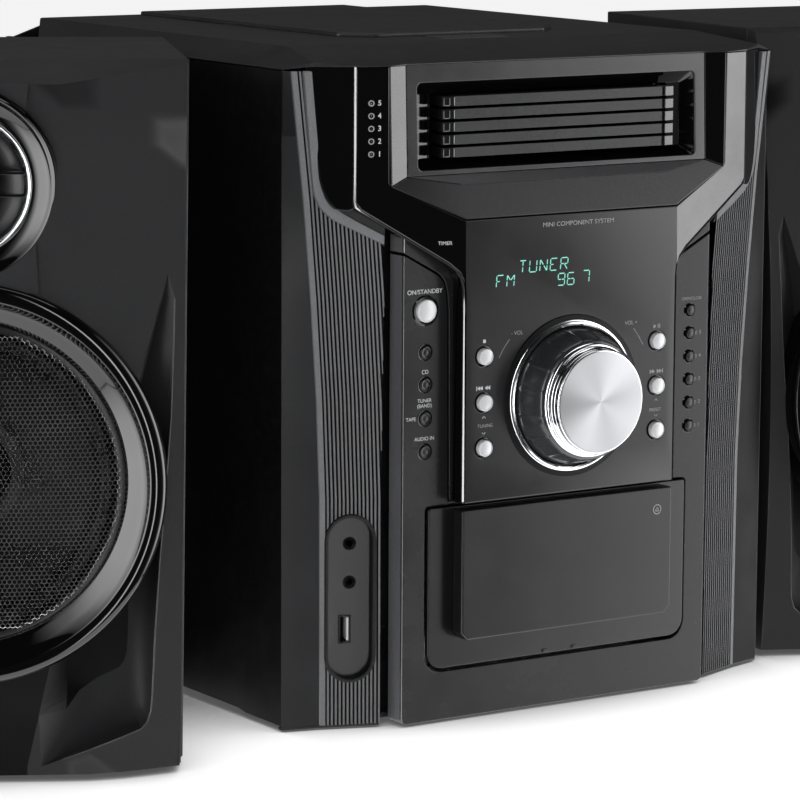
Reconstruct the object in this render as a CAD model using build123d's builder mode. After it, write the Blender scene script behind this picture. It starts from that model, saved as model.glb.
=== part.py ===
from build123d import *
import math
import os

os.makedirs("parts", exist_ok=True)

# ------------------------------------------------------------------ driving dimensions (mm)
# Local frame of the main unit: X to the viewer's right, Y away from the viewer with 0 on the
# lower front column, Z up with the floor at FLOOR. OX, OY, OZ carry it to the row's origin,
# the middle of the whole system's footprint.
FLOOR = 3.0
OX, OY, OZ = 20.93, -135.25, -FLOOR

HALF_W = 143.0          # main unit, half width over the side panels
REAR = 300.0            # back face of the rear panel
WALL = 2.5
BASE_Z = 6.0
SEAM_Y = 23.5           # front edge of the side panels
COVER_EDGE_Z = 317.5    # lower edge of the top cover
COVER_Z = 326.0         # flat of the top cover
LID_Z = 328.0           # raised middle of the top cover
COVER_HALF = 120.5      # half width of the flat
BEZEL_Z = 319.8         # top of the front bezel
COL_HALF = 90.0         # half width of the lower front column
PLATE_HALF = 62.0       # half width of the proud gloss plate
PLATE_Y = -10.0         # front face of the gloss plate
PLATE_BOTTOM = 110.6
CHIN_Z = 246.6
KNOB_Z = 158.2
KNOB_R = 33.5
KNOB_FRONT = -34.3
RING_R = 39.4
DOOR_HALF = 76.4
DOOR_LOW, DOOR_TOP = 30.0, 108.6
HINGE_Y, HINGE_Z = 2.5, 33.6
TRAY_PITCH = 6.03
TRAY_LOW = 275.0
TRAY_H = 4.6
TRAY_FRONT = 1.7
TRAY_HALF = 67.7
TRAY_TRAVEL = 130.0
BUTTON_TRAVEL = 1.0
SILVER_X, SILVER_R = 51.0, 3.9
SILVER_ZL = (181.0, 158.9, 137.1)
SOURCE_X, SOURCE_R = -78.0, 3.5
SOURCE_Z = (183.7, 168.3, 152.1, 136.2)
STANDBY_Z, STANDBY_R = 203.6, 5.3
STRIP_X, STRIP_R = 78.6, 2.5
STRIP_Z = (192.9, 181.5, 169.9, 158.4, 146.8, 135.2)

SPK_YAW = {"left": 29.0, "right": 4.0}
SPK_AT = {"left": (-316.0, 13.0), "right": (247.5, 3.0)}
SPK_Z0, SPK_Z1 = 6.5, 326.8
SPK_DEPTH = 184.0
SPK_HALF_F, SPK_HALF_R = 103.0, 93.0
WOOFER_Z, WOOFER_R = 140.0, 91.5
TWEET_Z, TWEET_R = 280.3, 41.5


def front(y=0.0):
    # sketch in (x, z), positive extrusion comes towards the viewer
    return Plane(origin=(OX, OY + y, OZ), x_dir=(1, 0, 0), z_dir=(0, -1, 0))


def level(z=0.0):
    return Plane(origin=(OX, OY, OZ + z), x_dir=(1, 0, 0), z_dir=(0, 0, 1))


def side(x=0.0):
    # sketch in (y, z), positive extrusion goes to the viewer's right
    return Plane(origin=(OX + x, OY, OZ), x_dir=(0, 1, 0), z_dir=(1, 0, 0))


def facet_y(x):
    # the gloss facets fall back on each side of the flat plate
    return PLATE_Y + 0.272 * max(0.0, abs(x) - PLATE_HALF)


# ------------------------------------------------------------------ casing
with BuildPart() as base_pan:
    with BuildSketch(level(BASE_Z)):
        with BuildLine():
            Polyline((-140.2, 297), (-140.2, 26), (-124, 20.5), (-92, 14.2), (92, 14.2), (124, 20.5),
                     (140.2, 26), (140.2, 297), close=True)
        make_face()
    extrude(amount=2.4)
    with BuildSketch(level(BASE_Z + 2.4)):
        with Locations((0, 200)):
            for i in range(7):
                with Locations((-60 + 20 * i, 0)):
                    Rectangle(3.6, 70)
    extrude(amount=-2.4, mode=Mode.SUBTRACT)
    with BuildSketch(level(BASE_Z + 2.4)):
        with Locations((-137.4, 168), (137.4, 168)):
            Rectangle(1.6, 250)
    extrude(amount=9)
base_pan.part.label = "base_pan"
export_step(base_pan.part, "parts/base_pan.step")

with BuildPart() as feet:
    with BuildSketch(level(FLOOR)):
        with Locations((-112, 44), (112, 44), (-112, 274), (112, 274)):
            Circle(13)
    extrude(amount=BASE_Z - FLOOR)
    chamfer(feet.edges().group_by(Axis.Z)[0], 0.8)
feet.part.label = "feet"
export_step(feet.part, "parts/feet.step")

for name, s in (("left_side_panel", -1), ("right_side_panel", 1)):
    with BuildPart() as panel:
        with BuildSketch(side(s * HALF_W)):
            with BuildLine():
                Polyline((SEAM_Y, 6.2), (56, 6.2), (64, 7.4), (REAR - 2.6, 7.4), (REAR - 2.6, COVER_EDGE_Z - 0.3),
                         (SEAM_Y, COVER_EDGE_Z - 0.3), close=True)
            make_face()
        extrude(amount=-s * WALL)
        with BuildSketch(side(s * (HALF_W - WALL))):
            with Locations((180, 60), (180, 160), (180, 260)):
                Rectangle(200, 2)
        extrude(amount=-s * 2.5)
    panel.part.label = name
    export_step(panel.part, f"parts/{name}.step")

with BuildPart() as rear_panel:
    with BuildSketch(front(REAR)):
        with BuildLine():
            Polyline((-140.4, 8.6), (140.4, 8.6), (140.4, 315.8), (119, 322.9), (-119, 322.9), (-140.4, 315.8), close=True)
        make_face()
    extrude(amount=2.4)
    with BuildSketch(front(REAR)):
        for i in range(12):
            with Locations((60 + 0 * i, 190 + 8 * i)):
                SlotOverall(90, 3.4)
        with Locations((-84, 62)):
            Rectangle(72, 34)
        with Locations((-84, 112)):
            Rectangle(44, 22)
        with Locations((96, 30)):
            Circle(6.6)
        with Locations((-132, 20), (132, 20), (-132, 160), (132, 160), (-110, 312), (110, 312)):
            Circle(1.8)
    extrude(amount=2.4, mode=Mode.SUBTRACT)
rear_panel.part.label = "rear_panel"
export_step(rear_panel.part, "parts/rear_panel.step")

# top cover: a shallow hipped shell with a raised middle
def cover_body(drop, inset):
    with BuildPart(mode=Mode.PRIVATE) as body:
        with BuildSketch(front(REAR - 0.0)):
            with BuildLine():
                Polyline((-HALF_W + inset, COVER_EDGE_Z - (3 if drop else 0)), (HALF_W - inset, COVER_EDGE_Z - (3 if drop else 0)),
                         (HALF_W - inset, COVER_EDGE_Z + 1.2 - drop), (COVER_HALF, COVER_Z - drop), (-COVER_HALF, COVER_Z - drop),
                         (-HALF_W + inset, COVER_EDGE_Z + 1.2 - drop), close=True)
            make_face()
        extrude(amount=REAR + 2)
        with BuildSketch(side(-200)):
            with BuildLine():
                Polyline((-1, COVER_EDGE_Z - 4), (REAR + 1, COVER_EDGE_Z - 4), (REAR + 1, COVER_Z - drop + 0.01),
                         (56, COVER_Z - drop + 0.01), (-1, BEZEL_Z - drop), close=True)
            make_face()
        extrude(amount=400, mode=Mode.INTERSECT)
        with BuildSketch(level(COVER_EDGE_Z - 5)):
            with BuildLine():
                Polyline((-HALF_W + inset, REAR), (-HALF_W + inset, SEAM_Y + inset), (-114.9 + inset, 4.4 + inset), (-98.6, 0.2 + inset),
                         (-87.4, 3.5 + inset), (87.4, 3.5 + inset), (98.6, 0.2 + inset), (114.9 - inset, 4.4 + inset),
                         (HALF_W - inset, SEAM_Y + inset), (HALF_W - inset, REAR), close=True)
            make_face()
        extrude(amount=20, mode=Mode.INTERSECT)
    return body.part


with BuildPart() as top_cover:
    add(cover_body(0.0, 0.0))
    add(cover_body(2.4, 2.5), mode=Mode.SUBTRACT)
    with BuildSketch(level(COVER_Z)):
        with BuildLine():
            Polyline((-66, 297), (-66, 84), (-48, 62), (48, 62), (66, 84), (66, 297), close=True)
        make_face()
    extrude(amount=LID_Z - COVER_Z)
    chamfer(top_cover.edges().group_by(Axis.Z)[-1], 1.0)
    with BuildSketch(level(COVER_EDGE_Z - 3)):
        with Locations((0, -1)):
            Rectangle(263.6, 41)
    extrude(amount=BEZEL_Z - COVER_EDGE_Z + 3.0, mode=Mode.SUBTRACT)
top_cover.part.label = "top_cover"
export_step(top_cover.part, "parts/top_cover.step")

# ------------------------------------------------------------------ front
# ribbed pillars beside the column; the left one carries the socket recess
RECESS = ((-121.0, 66.5), 25.0, 80.0)
for name, s in (("left_pillar", -1), ("right_pillar", 1)):
    with BuildPart() as pillar:
        with BuildSketch(level(BASE_Z + 2.7)):
            with BuildLine():
                Polyline((s * 140.1, 30), (s * 140.1, 23.3), (s * 142.7, 23.3), (s * 125, 18.5), (s * 97, 8.0), (s * 97, 30), (s * 99.6, 30),
                         (s * 99.6, 12.0), (s * 124, 21.2), (s * 137.6, 25.2), (s * 137.6, 30), close=True)
            make_face()
        extrude(amount=COVER_EDGE_Z - BASE_Z - 4.2)
        with BuildSketch(level(BASE_Z + 2.7)):
            with BuildLine():
                Polyline((s * 99, 11.8), (s * 138, 25), (s * 138, 30), (s * 99, 30), close=True)
            make_face()
        extrude(amount=2.4)
        # the bezel's cheek and the diagonal edge of the gloss plate stand in front of the upper part
        with BuildSketch(front(60)):
            with BuildLine():
                Polyline((s * 60, 222), (s * 98, 241), (s * 119, 250), (s * 126, 262), (s * 131.5, 330), (s * 60, 330), close=True)
            make_face()
        extrude(amount=80, mode=Mode.SUBTRACT)
        if s < 0:
            with BuildSketch(Plane(origin=(OX - 111.0, OY + 13.2, OZ + 66.5), x_dir=(math.cos(math.radians(20.5)), -math.sin(math.radians(20.5)), 0),
                                   z_dir=(-math.sin(math.radians(20.5)), -math.cos(math.radians(20.5)), 0)).offset(3)):
                SlotOverall(80, 23.4, rotation=90)
            extrude(amount=-9.4, mode=Mode.SUBTRACT)
    pillar.part.label = name
    export_step(pillar.part, f"parts/{name}.step")

PIL = Plane(origin=(OX - 111.0, OY + 13.2, OZ + 66.5), x_dir=(math.cos(math.radians(20.5)), -math.sin(math.radians(20.5)), 0),
            z_dir=(-math.sin(math.radians(20.5)), -math.cos(math.radians(20.5)), 0))
with BuildPart() as jack_panel:
    # stadium cup set into the pillar, with two jack barrels and the upright socket behind its floor
    with BuildSketch(PIL.offset(-0.2)):
        SlotOverall(79.4, 22.8, rotation=90)
    extrude(amount=-6.2)
    with BuildSketch(PIL.offset(-0.2)):
        SlotOverall(76.8, 20.2, rotation=90)
    extrude(amount=-5.0, mode=Mode.SUBTRACT)
    with BuildSketch(PIL.offset(-4.3)):
        with Locations((0, 26.3), (0, 7.6)):
            Circle(3.1)
    extrude(amount=-13.0)
    with BuildSketch(PIL.offset(-5.2)):
        with Locations((-2.6, -15.6)):
            Rectangle(7.4, 14.6)
    extrude(amount=-13.0)
    with BuildSketch(PIL.offset(-4.0)):
        with Locations((0, 26.3), (0, 7.6)):
            Circle(1.8)
        with Locations((-2.6, -15.6)):
            Rectangle(4.6, 12.2)
    extrude(amount=-12.6, mode=Mode.SUBTRACT)
    with BuildSketch(PIL.offset(-5.4)):
        with Locations((-1.9, -15.6)):
            Rectangle(1.6, 10.6)
    extrude(amount=-12.0)
jack_panel.part.label = "jack_panel"
export_step(jack_panel.part, "parts/jack_panel.step")

# textured lower column with the tape door opening
with BuildPart() as front_column:
    with BuildSketch(level(BASE_Z + 2.7)):
        with BuildLine():
            Polyline((-COL_HALF, 0), (COL_HALF, 0), (COL_HALF, 13.8), (COL_HALF + 6.4, 13.8), (COL_HALF + 6.4, 16.2),
                     (COL_HALF - 2.6, 16.2), (COL_HALF - 2.6, 3), (-COL_HALF + 2.6, 3), (-COL_HALF + 2.6, 16.2),
                     (-COL_HALF - 6.4, 16.2), (-COL_HALF - 6.4, 13.8), (-COL_HALF, 13.8), close=True)
        make_face()
    extrude(amount=244 - BASE_Z - 2.7)
    with BuildSketch(front(40)):
        with BuildLine():
            Polyline((-100, 246), (-100, 240), (-91, 236.5), (-68, 225), (-63, 216), (-60, 206), (60, 206), (63, 216),
                     (68, 225), (91, 236.5), (100, 240), (100, 246), close=True)
        make_face()
    extrude(amount=50, mode=Mode.SUBTRACT)
    # tape door opening with its lower round corners
    with BuildSketch(front(20)):
        with Locations((0, (27.6 + 110.2) / 2)):
            RectangleRounded(155.4, 110.2 - 27.6, 8)
    extrude(amount=30, mode=Mode.SUBTRACT)
    # hinge bosses
    with BuildSketch(side(-83.4)):
        with Locations((6.4, HINGE_Z)):
            Rectangle(12.8, 8)
    extrude(amount=5.6)
    with BuildSketch(side(77.8)):
        with Locations((6.4, HINGE_Z)):
            Rectangle(12.8, 8)
    extrude(amount=5.6)
    with BuildSketch(side(-90)):
        with Locations((HINGE_Y, HINGE_Z)):
            Circle(1.65)
    extrude(amount=180, mode=Mode.SUBTRACT)
    # button holes left and right of the gloss plate
    with BuildSketch(front(10)):
        with Locations((SOURCE_X, STANDBY_Z)):
            Circle(STANDBY_R + 0.5)
        for z in SOURCE_Z:
            with Locations((SOURCE_X, z)):
                Circle(SOURCE_R + 0.4)
        for z in STRIP_Z:
            with Locations((STRIP_X, z)):
                Circle(STRIP_R + 0.35)
    extrude(amount=12, mode=Mode.SUBTRACT)
    # window behind the gloss plate for the knob encoder, display and tact switches
    with BuildSketch(front(20)):
        with Locations((0, 160.5)):
            Rectangle(116, 96)
    extrude(amount=30, mode=Mode.SUBTRACT)
front_column.part.label = "front_column"
export_step(front_column.part, "parts/front_column.step")

# one moulding: proud plate, diagonal lower edges and the two outer legs beside the tray window
with BuildPart() as front_panel:
    with BuildSketch(level(PLATE_BOTTOM)):
        with BuildLine():
            Polyline((-116.5, facet_y(116.5)), (-PLATE_HALF, PLATE_Y), (PLATE_HALF, PLATE_Y), (116.5, facet_y(116.5)),
                     (116.5, facet_y(116.5) + 3), (PLATE_HALF + 0.3, PLATE_Y + 3), (-PLATE_HALF - 0.3, PLATE_Y + 3),
                     (-116.5, facet_y(116.5) + 3), close=True)
        make_face()
    extrude(amount=BEZEL_Z - 0.4 - PLATE_BOTTOM)
    with BuildSketch(front(30)):
        with BuildLine():
            Polyline((-115.4, 325), (-115.4, 254), (-102, 245.7), (-70, 226), (-64.5, 220.5), (-PLATE_HALF - 0.6, 213),
                     (-PLATE_HALF - 0.6, PLATE_BOTTOM - 1), (PLATE_HALF + 0.6, PLATE_BOTTOM - 1), (PLATE_HALF + 0.6, 213), (64.5, 220.5),
                     (70, 226), (102, 245.7), (115.4, 254), (115.4, 325), (98.4, 325), (98.4, 264), (PLATE_HALF, CHIN_Z),
                     (-PLATE_HALF, CHIN_Z), (-98.4, 264), (-98.4, 325), close=True)
        make_face()
    extrude(amount=60, mode=Mode.INTERSECT)
    # rim that carries the plate back to the column
    with BuildSketch(front(-0.3)):
        with Locations((0, (PLATE_BOTTOM + 210) / 2)):
            Rectangle(2 * PLATE_HALF + 0.6, 210 - PLATE_BOTTOM)
            with Locations((0, 4)):
                Rectangle(2 * PLATE_HALF - 4.4, 212 - PLATE_BOTTOM - 4, mode=Mode.SUBTRACT)
    extrude(amount=7.0)
    with BuildSketch(front(10)):
        with Locations((0, KNOB_Z)):
            Circle(9)
        for z in SILVER_ZL:
            with Locations((-SILVER_X, z), (SILVER_X, z)):
                Circle(SILVER_R + 0.45)
    extrude(amount=30, mode=Mode.SUBTRACT)
front_panel.part.label = "front_panel"
export_step(front_panel.part, "parts/front_panel.step")

# tray window frame with its recess walls, chin and cheeks
with BuildPart() as upper_bezel:
    with BuildSketch(side(-98.2)):
        with BuildLine():
            Polyline((13, BEZEL_Z - 0.4), (3.5, BEZEL_Z - 0.4), (1.5, 267), (-2.7, 262.7), (PLATE_Y + 0.3, CHIN_Z + 0.4),
                     (PLATE_Y + 3.4, CHIN_Z + 0.4), (13, 258), close=True)
        make_face()
    extrude(amount=196.4)
    with BuildSketch(front(30)):
        with BuildLine():
            Polyline((-98.2, 325), (-98.2, 264.2), (-61.6, CHIN_Z + 0.3), (61.6, CHIN_Z + 0.3), (98.2, 264.2), (98.2, 325), close=True)
        make_face()
    extrude(amount=60, mode=Mode.INTERSECT)
    # the chin turns back beyond its middle third
    for s in (-1, 1):
        a = Vector(OX + s * 60, OY - 2.7, OZ + 262.7)
        b = Vector(OX + s * 62, OY - 10.2, OZ + 247)
        c = Vector(OX + s * 97.8, OY - 0.8, OZ + 263.6)
        n = (b - a).cross(c - a)
        if n.Y > 0:
            n = n * -1
        split(bisect_by=Plane(origin=a, z_dir=n), keep=Keep.BOTTOM)
    # recess walls at each end
    for s in (-1, 1):
        with BuildSketch(level(266)):
            with BuildLine():
                Polyline((s * 87.4, 3.6), (s * 98.1, 0.6), (s * 98.1, 13), (s * 87.0, 13), close=True)
            make_face()
        extrude(amount=BEZEL_Z - 0.4 - 266)
    # funnel to the tray slot
    with BuildSketch(front(1.0)):
        with Locations((0, 290.05)):
            RectangleRounded(2 * 81.4, 41.0, 2.0)
    with BuildSketch(front(10.2)):
        with Locations((0, 289.3)):
            RectangleRounded(2 * 78.2, 31.4, 1.2)
    loft(mode=Mode.SUBTRACT)
    with BuildSketch(front(1.05)):
        with Locations((0, 290.05)):
            RectangleRounded(2 * 81.4, 41.0, 2.0)
    extrude(amount=12, mode=Mode.SUBTRACT)
    with BuildSketch(front(20)):
        with Locations((0, TRAY_LOW + 14.35)):
            Rectangle(2 * TRAY_HALF + 1.4, 30.2)
    extrude(amount=40, mode=Mode.SUBTRACT)
    # cheeks that run back to the side seams
    for s in (-1, 1):
        with BuildSketch(level(250)):
            with BuildLine():
                Polyline((s * 115.8, 5.2), (s * 131.2, 15.6), (s * 131.2, 19), (s * 112.2, 10.2), (s * 97.6, 6.6), (s * 97.6, 3.6), (s * 115.4, 7.8), close=True)
            make_face()
        extrude(amount=BEZEL_Z - 0.4 - 250)
        with BuildSketch(front(60)):
            with BuildLine():
                Polyline((s * 90, 240), (s * 98.6, 248), (s * 117.5, 256), (s * 124.6, 266), (s * 130.6, 330), (s * 150, 330), (s * 150, 240), close=True)
            make_face()
        extrude(amount=80, mode=Mode.SUBTRACT)
upper_bezel.part.label = "upper_bezel"
export_step(upper_bezel.part, "parts/upper_bezel.step")

with BuildPart() as knob_ring:
    with BuildSketch(front(PLATE_Y)):
        with Locations((0, KNOB_Z)):
            Circle(RING_R)
            Circle(KNOB_R + 0.9, mode=Mode.SUBTRACT)
    extrude(amount=0.6)
    with BuildSketch(front(PLATE_Y - 0.6)):
        with Locations((0, KNOB_Z)):
            Circle(RING_R - 3.4)
            Circle(KNOB_R + 0.9, mode=Mode.SUBTRACT)
    extrude(amount=1.8)
    fillet(knob_ring.edges().group_by(Axis.Y)[0], 0.5)
knob_ring.part.label = "knob_ring"
export_step(knob_ring.part, "parts/knob_ring.step")

with BuildPart() as volume_knob:
    with BuildSketch(side(0)):
        with BuildLine():
            Polyline((KNOB_FRONT, KNOB_Z), (KNOB_FRONT, KNOB_Z + 23.4), (-30.4, KNOB_Z + 26.1), (-29.2, KNOB_Z + 26.1), (-28.6, KNOB_Z + 27.9),
                     (-26.5, KNOB_Z + 28.8), (PLATE_Y - 0.9, KNOB_Z + KNOB_R), (PLATE_Y - 0.9, KNOB_Z + 30), (-25, KNOB_Z + 25),
                     (-25, KNOB_Z + 3.0), (7.0, KNOB_Z + 3.0), (7.0, KNOB_Z), close=True)
        make_face()
    revolve(axis=Axis((OX, OY, OZ + KNOB_Z), (0, 1, 0)))
volume_knob.part.label = "volume_knob"
export_step(volume_knob.part, "parts/volume_knob.step")

# ------------------------------------------------------------------ buttons
BOARD_Y = 8.0
STEM_END = BOARD_Y - 2.4


def button(name, x, z, r, cap_front, cap_back, flange_front, stem_r):
    # domed cap, hidden retaining flange and a stem that reaches the tact switch
    with BuildPart() as b:
        with BuildSketch(front(cap_back)):
            with Locations((x, z)):
                Circle(r)
        extrude(amount=cap_back - cap_front)
        fillet(b.edges().group_by(Axis.Y)[0], min(1.1, r * 0.4))
        with BuildSketch(front(cap_back)):
            with Locations((x, z)):
                Circle(r + 0.9)
        extrude(amount=-0.9)
        with BuildSketch(front(cap_back + 0.9)):
            with Locations((x, z)):
                Circle(stem_r)
        extrude(amount=-(STEM_END - cap_back - 0.9))
    b.part.label = name
    export_step(b.part, f"parts/{name}.step")


PROUD_BACK = PLATE_Y + 3.15
COL_BACK = 3.15
button("standby_button", SOURCE_X, STANDBY_Z, STANDBY_R, -2.6, COL_BACK, 0, 1.6)
for name, z in zip(("wireless_button", "disc_button", "tuner_button", "input_button"), SOURCE_Z):
    button(name, SOURCE_X, z, SOURCE_R, -1.6, COL_BACK, 0, 1.4)
for name, z in zip(("stop_button", "skip_back_button", "tuning_button"), SILVER_ZL):
    button(name, -SILVER_X, z, SILVER_R, PLATE_Y - 2.4, PROUD_BACK, 0, 1.4)
for name, z in zip(("play_button", "skip_forward_button", "preset_button"), SILVER_ZL):
    button(name, SILVER_X, z, SILVER_R, PLATE_Y - 2.4, PROUD_BACK, 0, 1.4)
for name, z in zip(("open_close_button", "disc_five_button", "disc_four_button", "disc_three_button", "disc_two_button",
                    "disc_one_button"), STRIP_Z):
    button(name, STRIP_X, z, STRIP_R, -1.5, COL_BACK, 0, 1.2)

with BuildPart() as control_board:
    with BuildSketch(front(BOARD_Y)):
        with Locations((0, 163)):
            Rectangle(172, 104)
    extrude(amount=-1.6)
    # encoder body
    with BuildSketch(front(BOARD_Y)):
        with Locations((0, KNOB_Z)):
            Circle(7)
    extrude(amount=5.0)
    with BuildSketch(front(BOARD_Y - 5.0)):
        with Locations((0, KNOB_Z)):
            Circle(3.08)
    extrude(amount=-5.0, mode=Mode.SUBTRACT)
    # tact switches
    with BuildSketch(front(BOARD_Y)):
        for z in (STANDBY_Z,) + SOURCE_Z:
            with Locations((SOURCE_X, z)):
                Rectangle(6, 6)
        for z in SILVER_ZL:
            with Locations((-SILVER_X, z), (SILVER_X, z)):
                Rectangle(6, 6)
        for z in STRIP_Z:
            with Locations((STRIP_X, z)):
                Rectangle(6, 6)
    extrude(amount=1.1)
control_board.part.label = "control_board"
export_step(control_board.part, "parts/control_board.step")

with BuildPart() as display_module:
    with BuildSketch(front(PLATE_Y + 3.2)):
        with Locations((-2, 216)):
            Rectangle(108, 24)
    extrude(amount=-5.5)
    with BuildSketch(front(PLATE_Y + 8.7)):
        with Locations((-2, 216)):
            Rectangle(100, 18)
    extrude(amount=-4)
display_module.part.label = "display_module"
export_step(display_module.part, "parts/display_module.step")

# ------------------------------------------------------------------ disc changer
for i in range(5):
    z0 = TRAY_LOW + i * TRAY_PITCH
    names = ("disc_tray_one", "disc_tray_two", "disc_tray_three", "disc_tray_four", "disc_tray_five")
    with BuildPart() as tray:
        with BuildSketch(level(z0)):
            with BuildLine():
                Polyline((-TRAY_HALF, TRAY_FRONT + 1.1), (-61.7, TRAY_FRONT), (61.7, TRAY_FRONT), (TRAY_HALF, TRAY_FRONT + 1.1),
                         (TRAY_HALF, TRAY_FRONT + 4.5), (65.2, TRAY_FRONT + 4.5), (65.2, 152), (-65.2, 152), (-65.2, TRAY_FRONT + 4.5),
                         (-TRAY_HALF, TRAY_FRONT + 4.5), close=True)
            make_face()
        extrude(amount=TRAY_H)
        with BuildSketch(level(z0 + TRAY_H)):
            with Locations((0, 75)):
                Circle(60.6)
        extrude(amount=-1.9, mode=Mode.SUBTRACT)
        with BuildSketch(level(z0 + TRAY_H)):
            with Locations((0, 75)):
                Circle(41)
        extrude(amount=-2.7, mode=Mode.SUBTRACT)
        with BuildSketch(level(z0)):
            with Locations((0, 107)):
                SlotOverall(120, 36, rotation=90)
        extrude(amount=TRAY_H, mode=Mode.SUBTRACT)
    tray.part.label = names[i]
    export_step(tray.part, f"parts/{names[i]}.step")

with BuildPart() as changer_frame:
    with BuildSketch(level(270.6)):
        with Locations((0, 134)):
            Rectangle(148, 236)
            with Locations((0, 4)):
                Rectangle(104, 200, mode=Mode.SUBTRACT)
        with Locations((-107, 50), (107, 50), (-107, 230), (107, 230)):
            Rectangle(66.8, 16)
    extrude(amount=3.6)
    with BuildSketch(level(274.2)):
        with Locations((-69.9, 134), (69.9, 134)):
            Rectangle(8.2, 236)
        with Locations((0, 250.5)):
            Rectangle(131.6, 3)
    extrude(amount=31.4)
    # pickup rails on two cross bars under the trays
    with BuildSketch(level(262)):
        with Locations((0, 66), (0, 178)):
            Rectangle(120, 6)
    extrude(amount=8.6)
    with BuildSketch(front(66)):
        with Locations((-22, 265), (22, 265)):
            Circle(1.5)
    extrude(amount=-112)
changer_frame.part.label = "changer_frame"
export_step(changer_frame.part, "parts/changer_frame.step")

with BuildPart() as pickup_sled:
    with BuildSketch(level(261.4)):
        with Locations((0, 92)):
            Rectangle(56, 30)
    extrude(amount=7.6)
    with BuildSketch(level(269)):
        with Locations((0, 92)):
            Circle(4)
    extrude(amount=1.2)
    with BuildSketch(front(60)):
        with Locations((-22, 265), (22, 265)):
            Circle(1.9)
    extrude(amount=-60, mode=Mode.SUBTRACT)
pickup_sled.part.label = "pickup_sled"
export_step(pickup_sled.part, "parts/pickup_sled.step")

# ------------------------------------------------------------------ tape deck
with BuildPart() as cassette_door:
    with BuildSketch(front(1.6)):
        with Locations((0, (DOOR_LOW + DOOR_TOP) / 2)):
            RectangleRounded(2 * DOOR_HALF, DOOR_TOP - DOOR_LOW, 7)
    extrude(amount=3.0)
    with BuildSketch(front(-1.4)):
        with BuildLine():
            Polyline((-62.6, 107.2), (62.6, 107.2), (62.6, 50), (55.5, 43.8), (-55.5, 43.8), (-62.6, 50), close=True)
        make_face()
    extrude(amount=8.1)
    with BuildSketch(front(1.6)):
        with Locations((0, 75.4)):
            Rectangle(118, 54)
    extrude(amount=9.2, mode=Mode.SUBTRACT)
    # hinge ears and pins
    with BuildSketch(side(-75.4)):
        with Locations((HINGE_Y + 0.8, HINGE_Z)):
            Rectangle(5.2, 5.6)
    extrude(amount=9)
    with BuildSketch(side(66.4)):
        with Locations((HINGE_Y + 0.8, HINGE_Z)):
            Rectangle(5.2, 5.6)
    extrude(amount=9)
    with BuildSketch(side(-82.6)):
        with Locations((HINGE_Y, HINGE_Z)):
            Circle(1.6)
    extrude(amount=10)
    with BuildSketch(side(72.6)):
        with Locations((HINGE_Y, HINGE_Z)):
            Circle(1.6)
    extrude(amount=10)
cassette_door.part.label = "cassette_door"
export_step(cassette_door.part, "parts/cassette_door.step")

with BuildPart() as cassette_holder:
    with BuildSketch(level(38.5)):
        with BuildLine():
            Polyline((-54.4, 1.6), (-51.6, 1.6), (-51.6, 13.4), (-46, 13.4), (-46, 15.2), (-54.4, 15.2), close=True)
        make_face()
        with BuildLine():
            Polyline((54.4, 1.6), (51.6, 1.6), (51.6, 13.4), (46, 13.4), (46, 15.2), (54.4, 15.2), close=True)
        make_face()
    extrude(amount=58)
    with BuildSketch(level(36.6)):
        with Locations((0, 8.4)):
            Rectangle(108.8, 13.6)
    extrude(amount=1.9)
cassette_holder.part.label = "cassette_holder"
export_step(cassette_holder.part, "parts/cassette_holder.step")

HUB_Z = 74.0
with BuildPart() as deck_plate:
    with BuildSketch(front(23)):
        with Locations((0, 69)):
            Rectangle(176, 84)
        with Locations((-21.25, HUB_Z), (21.25, HUB_Z)):
            Circle(1.55, mode=Mode.SUBTRACT)
    extrude(amount=-1.6)
    with BuildSketch(front(23)):
        with Locations((0, 48)):
            Rectangle(16, 9)
        with Locations((-27, 47), (27, 47)):
            Circle(3.2)
        with Locations((-34, 51), (34, 51)):
            Circle(1.2)
    extrude(amount=5.4)
    with BuildSketch(front(23)):
        with Locations((-84.6, 60), (84.6, 60), (-84.6, 98), (84.6, 98)):
            Rectangle(5, 6)
    extrude(amount=20)
deck_plate.part.label = "deck_plate"
export_step(deck_plate.part, "parts/deck_plate.step")

for name, x in (("supply_reel", -21.25), ("take_up_reel", 21.25)):
    with BuildPart() as reel:
        with BuildSketch(front(22.6)):
            with Locations((x, HUB_Z)):
                Circle(9)
        extrude(amount=2.2)
        with BuildSketch(front(20.4)):
            with Locations((x, HUB_Z)):
                Circle(3.9)
                for k in range(6):
                    with PolarLocations(3.9, 6):
                        Rectangle(2.2, 1.2)
        extrude(amount=7.2)
        with BuildSketch(front(22.6)):
            with Locations((x, HUB_Z)):
                Circle(1.5)
        extrude(amount=-9)
        with BuildSketch(front(25.2)):
            with Locations((x, HUB_Z)):
                Circle(6)
        extrude(amount=-3)
    reel.part.label = name
    export_step(reel.part, f"parts/{name}.step")

# ------------------------------------------------------------------ inside and rear
with BuildPart() as main_board:
    with BuildSketch(level(16)):
        with Locations((-34, 168)):
            Rectangle(190, 220)
    extrude(amount=1.6)
    with BuildSketch(level(17.6)):
        with Locations((-90, 240), (-66, 240), (-90, 212)):
            Circle(9)
    extrude(amount=26)
    with BuildSketch(level(17.6)):
        with Locations((-20, 120)):
            Rectangle(34, 34)
        with Locations((14, 150), (14, 130), (-70, 130)):
            Rectangle(10, 12)
    extrude(amount=4)
    # heat sink with fins for the power stage
    with BuildSketch(level(17.6)):
        with Locations((-40, 196)):
            Rectangle(70, 4)
        for k in range(8):
            with Locations((-71 + 9 * k, 205)):
                Rectangle(2, 16)
    extrude(amount=52)
    with BuildSketch(level(8.6)):
        with Locations((-124, 66), (54, 66), (-124, 270), (54, 270)):
            Circle(3)
    extrude(amount=7.4)
main_board.part.label = "main_board"
export_step(main_board.part, "parts/main_board.step")

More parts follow.
